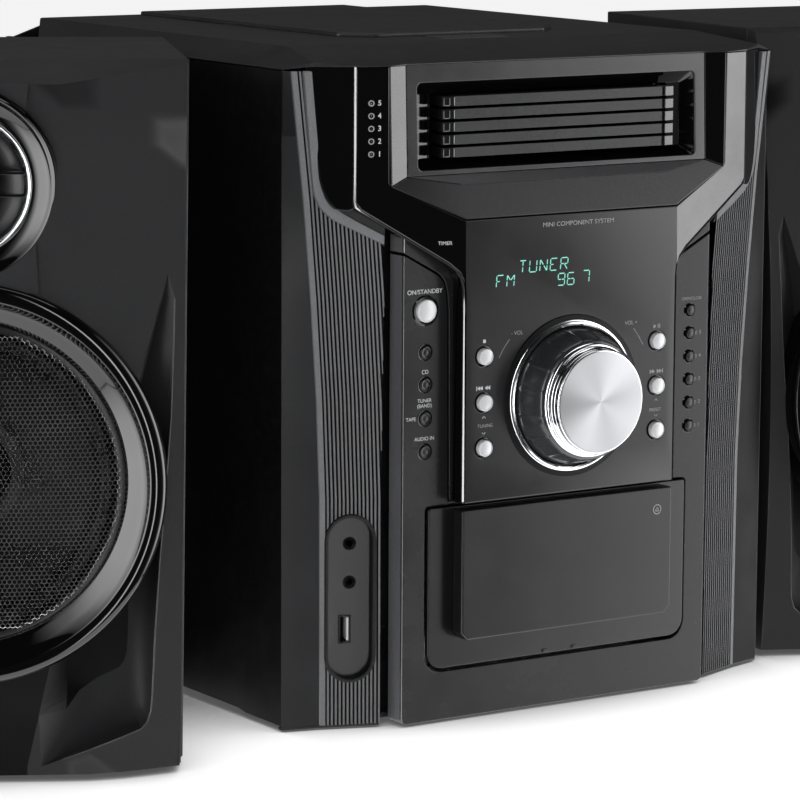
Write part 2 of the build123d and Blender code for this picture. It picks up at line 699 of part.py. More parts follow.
with BuildPart() as power_transformer:
    with BuildSketch(level(8.4)):
        with Locations((98, 210)):
            Rectangle(56, 66)
    extrude(amount=58)
    with BuildSketch(level(18)):
        with Locations((98, 210)):
            Rectangle(36, 92)
    extrude(amount=38)
    chamfer(power_transformer.edges().filter_by(Axis.Z), 1.5)
power_transformer.part.label = "power_transformer"
export_step(power_transformer.part, "parts/power_transformer.step")

with BuildPart() as rear_terminals:
    # spring terminals for the two speakers, and the aerial block
    with BuildSketch(front(REAR)):
        with Locations((-84, 62)):
            Rectangle(71, 33)
    extrude(amount=10)
    with BuildSketch(front(REAR)):
        with Locations((-84, 62)):
            Rectangle(76, 38)
    extrude(amount=-1.6)
    with BuildSketch(front(REAR)):
        with Locations((-84, 112)):
            Rectangle(43, 21)
    extrude(amount=10)
    with BuildSketch(front(REAR)):
        with Locations((-84, 112)):
            Rectangle(48, 26)
    extrude(amount=-1.6)
    with BuildSketch(front(REAR + 1.6)):
        with Locations((-111, 55), (-93, 55), (-75, 55), (-57, 55), (-92, 108), (-76, 108)):
            Circle(1.7)
    extrude(amount=9, mode=Mode.SUBTRACT)
    with BuildSketch(front(REAR + 1.6)):
        with Locations((-111, 68), (-93, 68), (-75, 68), (-57, 68)):
            RectangleRounded(9, 11, 1.2)
        with Locations((-92, 116), (-76, 116)):
            RectangleRounded(8, 6, 1.0)
    extrude(amount=-3.2)
rear_terminals.part.label = "rear_terminals"
export_step(rear_terminals.part, "parts/rear_terminals.step")

with BuildPart() as cord_gland:
    with BuildSketch(side(96)):
        with BuildLine():
            Polyline((REAR - 6, 30 + 3.3), (REAR - 6, 30 + 8.4), (REAR - 3.2, 30 + 8.4), (REAR - 2.6, 30 + 6.3), (REAR + 0.1, 30 + 6.3),
                     (REAR + 0.1, 30 + 8.6), (REAR + 3.0, 30 + 7.6), (REAR + 3.0, 30 + 3.3), close=True)
        make_face()
    revolve(axis=Axis((OX + 96, OY, OZ + 30), (0, 1, 0)))
cord_gland.part.label = "cord_gland"
export_step(cord_gland.part, "parts/cord_gland.step")

with BuildPart() as case_screws:
    for x, z in ((-132, 20), (132, 20), (-132, 160), (132, 160), (-110, 312), (110, 312)):
        with BuildSketch(front(REAR)):
            with Locations((x, z)):
                Circle(3.4)
        extrude(amount=-1.8)
        with BuildSketch(front(REAR)):
            with Locations((x, z)):
                Circle(1.5)
        extrude(amount=6)
        with BuildSketch(front(REAR + 1.8)):
            with Locations((x, z)):
                Rectangle(3.6, 0.8)
                Rectangle(0.8, 3.6)
        extrude(amount=0.9, mode=Mode.SUBTRACT)
case_screws.part.label = "case_screws"
export_step(case_screws.part, "parts/case_screws.step")


# ------------------------------------------------------------------ speakers
def spk_plane(which, kind, u=0.0, v=0.0, z=0.0):
    a = math.radians(SPK_YAW[which])
    ux, uy = math.cos(a), -math.sin(a)
    vx, vy = math.sin(a), math.cos(a)
    o = (OX + SPK_AT[which][0] + u * ux + v * vx, OY + SPK_AT[which][1] + u * uy + v * vy, OZ + z)
    if kind == "level":
        return Plane(origin=o, x_dir=(ux, uy, 0), z_dir=(0, 0, 1))
    if kind == "front":
        return Plane(origin=o, x_dir=(ux, uy, 0), z_dir=(-vx, -vy, 0))
    return Plane(origin=o, x_dir=(vx, vy, 0), z_dir=(ux, uy, 0))


def front_axis(which, z):
    a = math.radians(SPK_YAW[which])
    return Axis((OX + SPK_AT[which][0], OY + SPK_AT[which][1], OZ + z), (math.sin(a), math.cos(a), 0))


BAFFLE_BACK = 36.0
for which in ("left", "right"):
    with BuildPart() as cabinet:
        with BuildSketch(spk_plane(which, "level", z=SPK_Z0)):
            with BuildLine():
                Polyline((-SPK_HALF_F + 0.6, BAFFLE_BACK + 0.0), (SPK_HALF_F - 0.6, BAFFLE_BACK), (SPK_HALF_R, SPK_DEPTH),
                         (-SPK_HALF_R, SPK_DEPTH), close=True)
            make_face()
        extrude(amount=SPK_Z1 - SPK_Z0)
        with BuildSketch(spk_plane(which, "level", z=SPK_Z0 + 9)):
            with BuildLine():
                Polyline((-SPK_HALF_F + 10, BAFFLE_BACK - 1), (SPK_HALF_F - 10, BAFFLE_BACK - 1), (SPK_HALF_R - 9, SPK_DEPTH - 9),
                         (-SPK_HALF_R + 9, SPK_DEPTH - 9), close=True)
            make_face()
        extrude(amount=SPK_Z1 - SPK_Z0 - 18, mode=Mode.SUBTRACT)
        # rear terminal cup with two posts, and the port with its tube
        with BuildSketch(spk_plane(which, "front", v=SPK_DEPTH)):
            with Locations((0, 90)):
                RectangleRounded(46, 30, 4)
        extrude(amount=6, mode=Mode.SUBTRACT)
        with BuildSketch(spk_plane(which, "front", v=SPK_DEPTH - 6)):
            with Locations((-10, 90), (10, 90)):
                Circle(3.4)
        extrude(amount=-5)
        with BuildSketch(spk_plane(which, "front", v=SPK_DEPTH - 8)):
            with Locations((0, 250)):
                Circle(27)
        extrude(amount=62)
        with BuildSketch(spk_plane(which, "front", v=SPK_DEPTH)):
            with Locations((0, 250)):
                Circle(24)
        extrude(amount=90, mode=Mode.SUBTRACT)
        # feet
        with BuildSketch(spk_plane(which, "level", z=FLOOR)):
            with Locations((-78, 48), (78, 48), (-76, 160), (76, 160)):
                Circle(8)
        extrude(amount=SPK_Z0 - FLOOR)
    cabinet.part.label = f"{which}_cabinet"
    export_step(cabinet.part, f"parts/{which}_cabinet.step")

    with BuildPart() as baffle:
        # convex moulded front that falls back to both sides and leans a little at the top
        with BuildSketch(spk_plane(which, "level", z=SPK_Z0)):
            with BuildLine():
                Polyline((-99.5, BAFFLE_BACK), (-98.6, 21), (-96, 13.5), (-26, 2.5), (26, 2.5), (96, 13.5), (98.6, 21), (99.5, BAFFLE_BACK), close=True)
            make_face()
        with BuildSketch(spk_plane(which, "level", z=SPK_Z1)):
            with BuildLine():
                Polyline((-SPK_HALF_F, BAFFLE_BACK), (-SPK_HALF_F, 33), (-SPK_HALF_F + 2, 27), (-26, 12), (26, 12), (SPK_HALF_F - 2, 27),
                         (SPK_HALF_F, 33), (SPK_HALF_F, BAFFLE_BACK), close=True)
            make_face()
        loft(ruled=True)
        with BuildSketch(spk_plane(which, "level", z=SPK_Z0 + 8)):
            with BuildLine():
                Polyline((-92, BAFFLE_BACK + 1), (-92, 24), (-30, 21), (30, 21), (92, 24), (92, BAFFLE_BACK + 1), close=True)
            make_face()
        extrude(amount=SPK_Z1 - SPK_Z0 - 16, mode=Mode.SUBTRACT)
        with BuildSketch(spk_plane(which, "front", v=60)):
            with Locations((0, WOOFER_Z)):
                Circle(78)
            with Locations((0, TWEET_Z)):
                Circle(33)
        extrude(amount=90, mode=Mode.SUBTRACT)
        # seats for the driver rings
        with BuildSketch(spk_plane(which, "front", v=12)):
            with Locations((0, WOOFER_Z)):
                Circle(WOOFER_R + 0.2)
        extrude(amount=30, mode=Mode.SUBTRACT)
        with BuildSketch(spk_plane(which, "front", v=16)):
            with Locations((0, TWEET_Z)):
                Circle(TWEET_R + 0.2)
        extrude(amount=30, mode=Mode.SUBTRACT)
    baffle.part.label = f"{which}_baffle"
    export_step(baffle.part, f"parts/{which}_baffle.step")

    with BuildPart() as grille:
        # flared gloss ring and the domed perforated sheet inside it
        with BuildSketch(spk_plane(which, "side")):
            with BuildLine():
                Polyline((12, WOOFER_Z + 74.2), (12, WOOFER_Z + WOOFER_R), (2.2, WOOFER_Z + WOOFER_R), (0.6, WOOFER_Z + WOOFER_R - 2), (1.8, WOOFER_Z + 84),
                         (7.4, WOOFER_Z + 74.2), close=True)
            make_face()
        revolve(axis=front_axis(which, WOOFER_Z))
        with BuildSketch(spk_plane(which, "side")):
            with BuildLine():
                Polyline((7.6, WOOFER_Z + 74.6), (4.6, WOOFER_Z + 55), (2.6, WOOFER_Z + 30), (2.0, WOOFER_Z), (3.0, WOOFER_Z), (3.6, WOOFER_Z + 30),
                         (5.6, WOOFER_Z + 55), (8.6, WOOFER_Z + 74.6), close=True)
            make_face()
        revolve(axis=front_axis(which, WOOFER_Z))
    grille.part.label = f"{which}_woofer_grille"
    export_step(grille.part, f"parts/{which}_woofer_grille.step")

    with BuildPart() as woofer:
        with BuildSketch(spk_plane(which, "side")):
            with BuildLine():
                Polyline((12.2, WOOFER_Z + 77), (12.2, WOOFER_Z + 68), (13.4, WOOFER_Z + 62), (34, WOOFER_Z + 22), (28, WOOFER_Z), (30, WOOFER_Z),
                         (60, WOOFER_Z), (84, WOOFER_Z), (84, WOOFER_Z + 42), (62, WOOFER_Z + 42), (60, WOOFER_Z + 34), (22, WOOFER_Z + 72), (22, WOOFER_Z + 77),
                         close=True)
            make_face()
        revolve(axis=front_axis(which, WOOFER_Z))
    woofer.part.label = f"{which}_woofer"
    export_step(woofer.part, f"parts/{which}_woofer.step")

    with BuildPart() as tweeter:
        with BuildSketch(spk_plane(which, "side")):
            with BuildLine():
                Polyline((16, TWEET_Z), (16, TWEET_Z + TWEET_R), (6.5, TWEET_Z + TWEET_R), (5.2, TWEET_Z + TWEET_R - 2), (6.2, TWEET_Z + 35), (9, TWEET_Z + 30.5),
                         (13, TWEET_Z + 26), (14, TWEET_Z + 9), (9, TWEET_Z + 6.5), (7.4, TWEET_Z), close=True)
            make_face()
        revolve(axis=front_axis(which, TWEET_Z))
        with BuildSketch(spk_plane(which, "side")):
            with BuildLine():
                Polyline((16, TWEET_Z), (16, TWEET_Z + 32), (26, TWEET_Z + 32), (26, TWEET_Z + 24), (44, TWEET_Z + 24), (44, TWEET_Z), close=True)
            make_face()
        revolve(axis=front_axis(which, TWEET_Z))
        with BuildSketch(spk_plane(which, "front", v=12)):
            with Locations((0, TWEET_Z + 5.2), (0, TWEET_Z - 5.2)):
                Rectangle(62, 2.4)
        extrude(amount=4.4)
    tweeter.part.label = f"{which}_tweeter"
    export_step(tweeter.part, f"parts/{which}_tweeter.step")
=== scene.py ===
import math

import bmesh
import bpy
import numpy as np
from mathutils import Matrix, Vector
from mathutils.geometry import delaunay_2d_cdt


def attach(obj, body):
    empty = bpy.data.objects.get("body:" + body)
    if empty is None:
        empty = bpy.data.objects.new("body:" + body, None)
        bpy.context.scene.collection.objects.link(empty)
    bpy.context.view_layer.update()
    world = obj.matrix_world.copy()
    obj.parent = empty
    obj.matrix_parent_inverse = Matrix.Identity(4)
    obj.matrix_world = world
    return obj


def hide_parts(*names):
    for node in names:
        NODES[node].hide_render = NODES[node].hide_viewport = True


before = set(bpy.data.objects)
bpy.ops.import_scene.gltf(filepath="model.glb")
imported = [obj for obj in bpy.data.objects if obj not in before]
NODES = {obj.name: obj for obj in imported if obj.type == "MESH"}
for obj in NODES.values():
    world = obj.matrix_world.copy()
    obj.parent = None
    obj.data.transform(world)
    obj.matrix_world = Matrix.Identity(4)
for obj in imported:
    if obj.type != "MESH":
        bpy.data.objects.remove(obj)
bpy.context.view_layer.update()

OX, OY, OZ = 20.93, -135.25, -3.0
KZ = 158.2


# ---------------------------------------------------------------- places (mm) to the row frame (m)
def W(p):
    return Vector(((p[0] + OX) / 1000.0, (p[1] + OY) / 1000.0, (p[2] + OZ) / 1000.0))


SPK = {"left": (math.radians(29.0), -316.0, 13.0), "right": (math.radians(4.0), 247.5, 3.0)}


def spk(which):
    a, x0, y0 = SPK[which]
    ca, sa = math.cos(a), math.sin(a)

    def to(p):
        u, v, z = p
        return W((x0 + u * ca + v * sa, y0 - u * sa + v * ca, z))
    return to


# ---------------------------------------------------------------- materials
def nodes_of(m):
    m.use_nodes = True
    nt = m.node_tree
    nt.nodes.clear()
    return nt


def coords(nt, scale=1.0):
    tc = nt.nodes.new("ShaderNodeTexCoord")
    mp = nt.nodes.new("ShaderNodeMapping")
    mp.inputs["Scale"].default_value = (scale, scale, scale) if not isinstance(scale, tuple) else scale
    nt.links.new(tc.outputs["Object"], mp.inputs["Vector"])
    return mp.outputs["Vector"]


def noise(nt, vec, scale, detail=3.0, rough=0.5):
    n = nt.nodes.new("ShaderNodeTexNoise")
    n.inputs["Scale"].default_value = scale
    n.inputs["Detail"].default_value = detail
    n.inputs["Roughness"].default_value = rough
    nt.links.new(vec, n.inputs["Vector"])
    return n.outputs["Fac"]


def remap(nt, val, a, b, lo, hi):
    r = nt.nodes.new("ShaderNodeMapRange")
    r.inputs["From Min"].default_value = a
    r.inputs["From Max"].default_value = b
    r.inputs["To Min"].default_value = lo
    r.inputs["To Max"].default_value = hi
    nt.links.new(val, r.inputs["Value"])
    return r.outputs["Result"]


def mixcol(nt, fac, c1, c2):
    m = nt.nodes.new("ShaderNodeMix")
    m.data_type = "RGBA"
    m.inputs["A"].default_value = (*c1, 1)
    m.inputs["B"].default_value = (*c2, 1)
    nt.links.new(fac, m.inputs["Factor"])
    return m.outputs["Result"]


def plastic(name, col, rough, grain=0.0, grain_scale=1800.0, var=0.12, rvar=0.06, spec=0.5, coat=0.0, metallic=0.0, dust=0.02):
    """moulded or painted surface: spark texture, slow colour drift, handling marks in the gloss"""
    m = bpy.data.materials.new(name)
    nt = nodes_of(m)
    out = nt.nodes.new("ShaderNodeOutputMaterial")
    b = nt.nodes.new("ShaderNodeBsdfPrincipled")
    nt.links.new(b.outputs[0], out.inputs[0])
    vec = coords(nt)
    slow = noise(nt, vec, 9.0, 4.0, 0.55)
    fine = noise(nt, vec, grain_scale * 0.35, 2.0)
    lo = tuple(max(0.0, c * (1 - var)) for c in col)
    hi = tuple(c * (1 + var) + dust * 0.02 for c in col)
    f = remap(nt, slow, 0.3, 0.7, 0.0, 1.0)
    c1 = mixcol(nt, f, lo, hi)
    mm = nt.nodes.new("ShaderNodeMix")
    mm.data_type = "RGBA"
    nt.links.new(remap(nt, fine, 0.45, 0.85, 0.0, 0.35), mm.inputs["Factor"])
    nt.links.new(c1, mm.inputs["A"])
    mm.inputs["B"].default_value = (*[min(1, c * 1.5 + dust) for c in col], 1)
    nt.links.new(mm.outputs["Result"], b.inputs["Base Color"])
    smear = noise(nt, vec, 34.0, 5.0, 0.6)
    nt.links.new(remap(nt, smear, 0.3, 0.75, max(0.02, rough - rvar), rough + rvar), b.inputs["Roughness"])
    b.inputs["Metallic"].default_value = metallic
    b.inputs["Specular IOR Level"].default_value = spec
    if coat:
        b.inputs["Coat Weight"].default_value = coat
        b.inputs["Coat Roughness"].default_value = 0.03
    if grain:
        g = noise(nt, vec, grain_scale, 3.0, 0.6)
        bp = nt.nodes.new("ShaderNodeBump")
        bp.inputs["Strength"].default_value = grain
        bp.inputs["Distance"].default_value = 0.0002
        nt.links.new(g, bp.inputs["Height"])
        nt.links.new(bp.outputs["Normal"], b.inputs["Normal"])
    return m


def spun_metal(name, col, centre):
    """flat spun aluminium face: fine concentric turning marks, highlight sectors from the radial tangent, plus painted
    highlight wedges in the base colour
    """
    m = bpy.data.materials.new(name)
    nt = nodes_of(m)
    out = nt.nodes.new("ShaderNodeOutputMaterial")
    b = nt.nodes.new("ShaderNodeBsdfPrincipled")
    nt.links.new(b.outputs[0], out.inputs[0])
    tc = nt.nodes.new("ShaderNodeTexCoord")
    sub = nt.nodes.new("ShaderNodeVectorMath")
    sub.operation = "SUBTRACT"
    sub.inputs[1].default_value = centre
    nt.links.new(tc.outputs["Object"], sub.inputs[0])
    flat = nt.nodes.new("ShaderNodeVectorMath")
    flat.operation = "MULTIPLY"
    flat.inputs[1].default_value = (1, 0, 1)
    nt.links.new(sub.outputs[0], flat.inputs[0])
    ln = nt.nodes.new("ShaderNodeVectorMath")
    ln.operation = "LENGTH"
    nt.links.new(flat.outputs[0], ln.inputs[0])
    cmb = nt.nodes.new("ShaderNodeCombineXYZ")
    nt.links.new(ln.outputs["Value"], cmb.inputs[0])
    rings = nt.nodes.new("ShaderNodeTexNoise")
    rings.noise_dimensions = "3D"
    rings.inputs["Scale"].default_value = 5200.0
    rings.inputs["Detail"].default_value = 3.0
    nt.links.new(cmb.outputs[0], rings.inputs["Vector"])
    # angle about the centre, doubled: painted highlight sectors, two bright and two soft
    sep = nt.nodes.new("ShaderNodeSeparateXYZ")
    nt.links.new(flat.outputs[0], sep.inputs[0])
    at = nt.nodes.new("ShaderNodeMath")
    at.operation = "ARCTAN2"
    nt.links.new(sep.outputs["Z"], at.inputs[0])
    nt.links.new(sep.outputs["X"], at.inputs[1])
    fib = nt.nodes.new("ShaderNodeCombineXYZ")
    nt.links.new(at.outputs[0], fib.inputs[0])
    an = nt.nodes.new("ShaderNodeTexNoise")
    an.inputs["Scale"].default_value = 46.0
    an.inputs["Detail"].default_value = 6.0
    nt.links.new(fib.outputs[0], an.inputs["Vector"])
    # painted highlight: two lighter wedges across the face and two fainter ones, set into the base colour by angle
    w1 = nt.nodes.new("ShaderNodeMath")
    w1.operation = "MULTIPLY_ADD"
    w1.inputs[1].default_value = 2.0
    w1.inputs[2].default_value = -2.0 * math.radians(62.0)
    nt.links.new(at.outputs[0], w1.inputs[0])
    w2 = nt.nodes.new("ShaderNodeMath")
    w2.operation = "COSINE"
    nt.links.new(w1.outputs[0], w2.inputs[0])
    w3 = nt.nodes.new("ShaderNodeMath")
    w3.operation = "MULTIPLY_ADD"
    w3.inputs[1].default_value = 4.0
    w3.inputs[2].default_value = -4.0 * math.radians(52.0)
    nt.links.new(at.outputs[0], w3.inputs[0])
    w4 = nt.nodes.new("ShaderNodeMath")
    w4.operation = "COSINE"
    nt.links.new(w3.outputs[0], w4.inputs[0])
    w5 = nt.nodes.new("ShaderNodeMath")
    w5.operation = "MULTIPLY_ADD"
    w5.inputs[1].default_value = 0.6
    nt.links.new(w4.outputs[0], w5.inputs[0])
    nt.links.new(w2.outputs[0], w5.inputs[2])
    w6 = nt.nodes.new("ShaderNodeMath")
    w6.operation = "MULTIPLY_ADD"
    w6.inputs[1].default_value = 0.5
    nt.links.new(an.outputs["Fac"], w6.inputs[0])
    nt.links.new(w5.outputs[0], w6.inputs[2])
    col_n = mixcol(nt, remap(nt, w6.outputs[0], -0.9, 1.7, 0, 1), tuple(c * 0.74 for c in col), tuple(min(1, c * 1.22) for c in col))
    nt.links.new(col_n, b.inputs["Base Color"])
    nt.links.new(remap(nt, rings.outputs["Fac"], 0.3, 0.7, 0.30, 0.36), b.inputs["Roughness"])
    b.inputs["Metallic"].default_value = 0.8
    b.inputs["Anisotropic"].default_value = 0.85
    tg = nt.nodes.new("ShaderNodeTangent")
    tg.direction_type = "RADIAL"
    tg.axis = "Y"
    nt.links.new(tg.outputs[0], b.inputs["Tangent"])
    bp = nt.nodes.new("ShaderNodeBump")
    bp.inputs["Strength"].default_value = 0.05
    bp.inputs["Distance"].default_value = 0.00003
    nt.links.new(rings.outputs["Fac"], bp.inputs["Height"])
    nt.links.new(bp.outputs["Normal"], b.inputs["Normal"])
    return m


def lit(name, col, strength, base=(0.02, 0.05, 0.05)):
    """lit display segment, a little uneven along its length"""
    m = bpy.data.materials.new(name)
    nt = nodes_of(m)
    out = nt.nodes.new("ShaderNodeOutputMaterial")
    b = nt.nodes.new("ShaderNodeBsdfPrincipled")
    nt.links.new(b.outputs[0], out.inputs[0])
    vec = coords(nt)
    n = noise(nt, vec, 420.0, 2.0)
    nt.links.new(mixcol(nt, remap(nt, n, 0.3, 0.7, 0, 1), tuple(c * 0.75 for c in col), col), b.inputs["Emission Color"])
    b.inputs["Emission Strength"].default_value = strength
    b.inputs["Base Color"].default_value = (*base, 1)
    b.inputs["Roughness"].default_value = 0.4
    return m


def sorted_material(name, col_a, col_b, scale, rough, metallic=0.0, stretch=(1, 1, 1), bump=0.1):
    """sheet metal or board with a directional pattern"""
    m = bpy.data.materials.new(name)
    nt = nodes_of(m)
    out = nt.nodes.new("ShaderNodeOutputMaterial")
    b = nt.nodes.new("ShaderNodeBsdfPrincipled")
    nt.links.new(b.outputs[0], out.inputs[0])
    vec = coords(nt, stretch)
    n = noise(nt, vec, scale, 5.0, 0.6)
    nt.links.new(mixcol(nt, remap(nt, n, 0.35, 0.65, 0, 1), col_a, col_b), b.inputs["Base Color"])
    nt.links.new(remap(nt, n, 0.3, 0.7, rough * 0.8, min(1, rough * 1.2)), b.inputs["Roughness"])
    b.inputs["Metallic"].default_value = metallic
    bp = nt.nodes.new("ShaderNodeBump")
    bp.inputs["Strength"].default_value = bump
    bp.inputs["Distance"].default_value = 0.0002
    nt.links.new(n, bp.inputs["Height"])
    nt.links.new(bp.outputs["Normal"], b.inputs["Normal"])
    return m


M = {}
M["gloss"] = plastic("black_gloss", (0.0028, 0.0028, 0.003), 0.06, var=0.1, rvar=0.02, spec=0.55, dust=0.0)
M["plate"] = plastic("front_gloss", (0.014, 0.014, 0.0155), 0.20, var=0.08, rvar=0.03, spec=0.36, dust=0.0)
M["bead"] = plastic("bead_polish", (0.05, 0.05, 0.052), 0.10, var=0.05, rvar=0.02, spec=1.0, coat=0.6, dust=0.0)
M["flank"] = plastic("flank_matt", (0.004, 0.004, 0.0045), 0.5, grain=0.2, spec=0.12, dust=0.0)
M["leaf"] = plastic("door_satin", (0.007, 0.007, 0.008), 0.24, var=0.08, rvar=0.03, spec=0.4, dust=0.0)
M["column"] = plastic("column_satin", (0.013, 0.0133, 0.0145), 0.27, grain=0.08, grain_scale=2600, spec=0.30, dust=0.005)
# lighter copy of the column plastic for the column's side walls: painted light on the side wall
M["column_side_painted_light"] = plastic("column_side_painted_light", (0.14, 0.142, 0.148), 0.46, grain=0.25, grain_scale=2200, spec=0.5, var=0.08)
M["pillar"] = plastic("pillar_spark", (0.165, 0.167, 0.174), 0.42, grain=0.35, grain_scale=2200, spec=0.5, var=0.08)
M["bezel"] = plastic("bezel_satin", (0.018, 0.018, 0.020), 0.21, grain=0.05, grain_scale=2600, spec=0.55)
M["chin"] = plastic("chin_satin", (0.013, 0.013, 0.0145), 0.21, grain=0.05, grain_scale=2600, spec=0.42)
# lighter grey for the upward-facing chin ledge: painted light from above
M["wedge"] = plastic("ledge_painted_light", (0.065, 0.066, 0.070), 0.34, grain=0.08, grain_scale=2600)
M["side"] = plastic("pillar_side", (0.017, 0.0175, 0.019), 0.42, grain=0.2, grain_scale=1800, spec=0.3, dust=0.0)
M["steel"] = plastic("case_paint", (0.005, 0.005, 0.0055), 0.42, grain=0.25, grain_scale=900, spec=0.35)
M["cover"] = plastic("cover_satin", (0.012, 0.012, 0.013), 0.42, grain=0.18, grain_scale=1500, spec=0.45)
M["badge"] = plastic("cover_badge", (0.040, 0.041, 0.044), 0.30, grain=0.1, grain_scale=1500)
M["cabinet"] = plastic("cabinet_vinyl", (0.020, 0.020, 0.022), 0.44, grain=0.35, grain_scale=700, spec=0.4)
M["baffle"] = plastic("baffle_satin", (0.0105, 0.0108, 0.012), 0.58, grain=0.12, grain_scale=2400, spec=0.28, dust=0.005)
M["baffle_strip"] = plastic("baffle_strip", (0.015, 0.0153, 0.017), 0.44, grain=0.12, grain_scale=2400, spec=0.32, dust=0.005)
M["cavity"] = plastic("recess_black", (0.0035, 0.0035, 0.0035), 0.30, grain=0.1, spec=0.4)
M["chrome"] = plastic("bright_ring", (0.80, 0.81, 0.83), 0.10, metallic=1.0, var=0.03, rvar=0.03, dust=0.0)
M["cap"] = plastic("silver_cap", (0.74, 0.75, 0.77), 0.34, metallic=0.15, var=0.05, rvar=0.04, grain=0.03, dust=0.0)
M["skirt"] = plastic("knob_skirt", (0.028, 0.029, 0.032), 0.20, var=0.1, rvar=0.03, spec=0.6)
M["spun"] = spun_metal("knob_face", (0.40, 0.405, 0.42), tuple(W((0, -34.3, KZ))))
M["tray"] = plastic("tray_satin", (0.022, 0.0225, 0.024), 0.30, grain=0.08, grain_scale=2600, spec=0.34)
M["mesh"] = plastic("grille_sheet", (0.58, 0.58, 0.59), 0.30, spec=0.6, metallic=1.0, dust=0.0)
M["cone"] = plastic("woofer_cone", (0.004, 0.004, 0.0045), 0.48, grain=0.3, grain_scale=900, spec=0.15, dust=0.0)
M["surround"] = plastic("woofer_surround", (0.004, 0.004, 0.0045), 0.26, grain=0.05, spec=0.25, dust=0.0)
M["label"] = plastic("label_print", (0.72, 0.73, 0.74), 0.55, grain=0.1, dust=0.0)
M["label_dim"] = plastic("label_dim", (0.34, 0.34, 0.35), 0.55, grain=0.1, dust=0.0)
M["display"] = lit("display_segments", (0.26, 0.86, 0.70), 1.05)
M["rubber"] = plastic("foot_rubber", (0.018, 0.018, 0.018), 0.72, grain=0.5, grain_scale=1200)
M["pan"] = sorted_material("zinc_sheet", (0.36, 0.37, 0.38), (0.50, 0.51, 0.52), 60.0, 0.38, 1.0)
M["pcb"] = sorted_material("circuit_board", (0.012, 0.07, 0.03), (0.02, 0.12, 0.05), 150.0, 0.4)
M["core"] = sorted_material("core_laminations", (0.10, 0.09, 0.08), (0.22, 0.20, 0.17), 40.0, 0.5, 0.6, (1, 60, 1))
M["reel"] = plastic("reel_acetal", (0.60, 0.60, 0.57), 0.38, grain=0.05)
M["screw"] = sorted_material("screw_head", (0.10, 0.10, 0.11), (0.20, 0.20, 0.21), 700.0, 0.35, 1.0)
M["nickel"] = plastic("jack_nickel", (0.55, 0.54, 0.51), 0.2, metallic=1.0, dust=0.0)

for n, k in {
    "base_pan": "steel", "feet": "rubber", "left_side_panel": "steel", "right_side_panel": "steel", "rear_panel": "steel",
    "control_board": "pcb", "display_module": "cavity", "changer_frame": "cavity", "deck_plate": "pan", "main_board": "pcb", "power_transformer": "core",
    "rear_terminals": "cavity", "cord_gland": "rubber", "case_screws": "screw", "pickup_sled": "cavity", "cassette_holder": "cavity",
    "supply_reel": "reel", "take_up_reel": "reel", "disc_tray_one": "flank", "disc_tray_two": "flank", "disc_tray_three": "flank",
    "disc_tray_four": "flank", "disc_tray_five": "flank",
}.items():
    NODES[n].data.materials.clear()
    NODES[n].data.materials.append(M[k])


# ---------------------------------------------------------------- mesh helpers
def finish_mesh(name, me, mat, body, slot, bevel=0.0, segs=3, limit=28.0, sharp=32.0, smooth=True, clamp=True):
    o = bpy.data.objects.new(name, me)
    bpy.context.scene.collection.objects.link(o)
    for m in (mat if isinstance(mat, (list, tuple)) else [mat]):
        me.materials.append(m)
    if smooth:
        me.shade_smooth()
        me.set_sharp_from_angle(angle=math.radians(sharp))
    if bevel:
        md = o.modifiers.new("edge", "BEVEL")
        md.width = bevel / 1000.0
        md.segments = segs
        md.limit_method = "ANGLE"
        md.angle_limit = math.radians(limit)
        md.use_clamp_overlap = clamp
        md.harden_normals = False
        w = o.modifiers.new("normals", "WEIGHTED_NORMAL")
        w.keep_sharp = False
        w.weight = 80
        me.attributes.remove(me.attributes["sharp_edge"]) if "sharp_edge" in me.attributes else None
    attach(o, body)
    return o


def poly(name, verts, faces, mat, body, slot, to=W, fmat=None, solid=0.0, **kw):
    me = bpy.data.meshes.new(name)
    me.from_pydata([to(v) for v in verts], [], faces)
    bm = bmesh.new()
    bm.from_mesh(me)
    bmesh.ops.remove_doubles(bm, verts=bm.verts, dist=1e-6)
    bmesh.ops.recalc_face_normals(bm, faces=bm.faces)
    bm.to_mesh(me)
    bm.free()
    me.update()
    if fmat is not None:
        for p, i in zip(me.polygons, fmat):
            p.material_index = i
    return finish_mesh(name, me, mat, body, slot, **kw)


def arc(cx, cy, r, a0, a1, n=8):
    return [(cx + r * math.cos(math.radians(a0 + (a1 - a0) * i / n)), cy + r * math.sin(math.radians(a0 + (a1 - a0) * i / n))) for i in range(n + 1)]


def rounded(pts, radii, n=6):
    """polygon corners replaced by arcs"""
    out = []
    k = len(pts)
    for i in range(k):
        r = radii[i] if isinstance(radii, (list, tuple)) else radii
        p = Vector(pts[i])
        if r <= 0:
            out.append(tuple(p))
            continue
        a = (Vector(pts[i - 1]) - p).normalized()
        b = (Vector(pts[(i + 1) % k]) - p).normalized()
        ang = a.angle(b)
        d = min(r / math.tan(ang / 2), (Vector(pts[i - 1]) - p).length * 0.49, (Vector(pts[(i + 1) % k]) - p).length * 0.49)
        rr = d * math.tan(ang / 2)
        c = p + (a + b).normalized() * (rr / math.sin(ang / 2))
        s, e = p + a * d - c, p + b * d - c
        t = s.angle(e)
        sign = 1 if s.x * e.y - s.y * e.x > 0 else -1
        for q in range(n + 1):
            th = sign * t * q / n
            out.append((c.x + s.x * math.cos(th) - s.y * math.sin(th), c.y + s.x * math.sin(th) + s.y * math.cos(th)))
    return out


def circle(cx, cy, r, n=40):
    return [(cx + r * math.cos(2 * math.pi * i / n), cy + r * math.sin(2 * math.pi * i / n)) for i in range(n)]


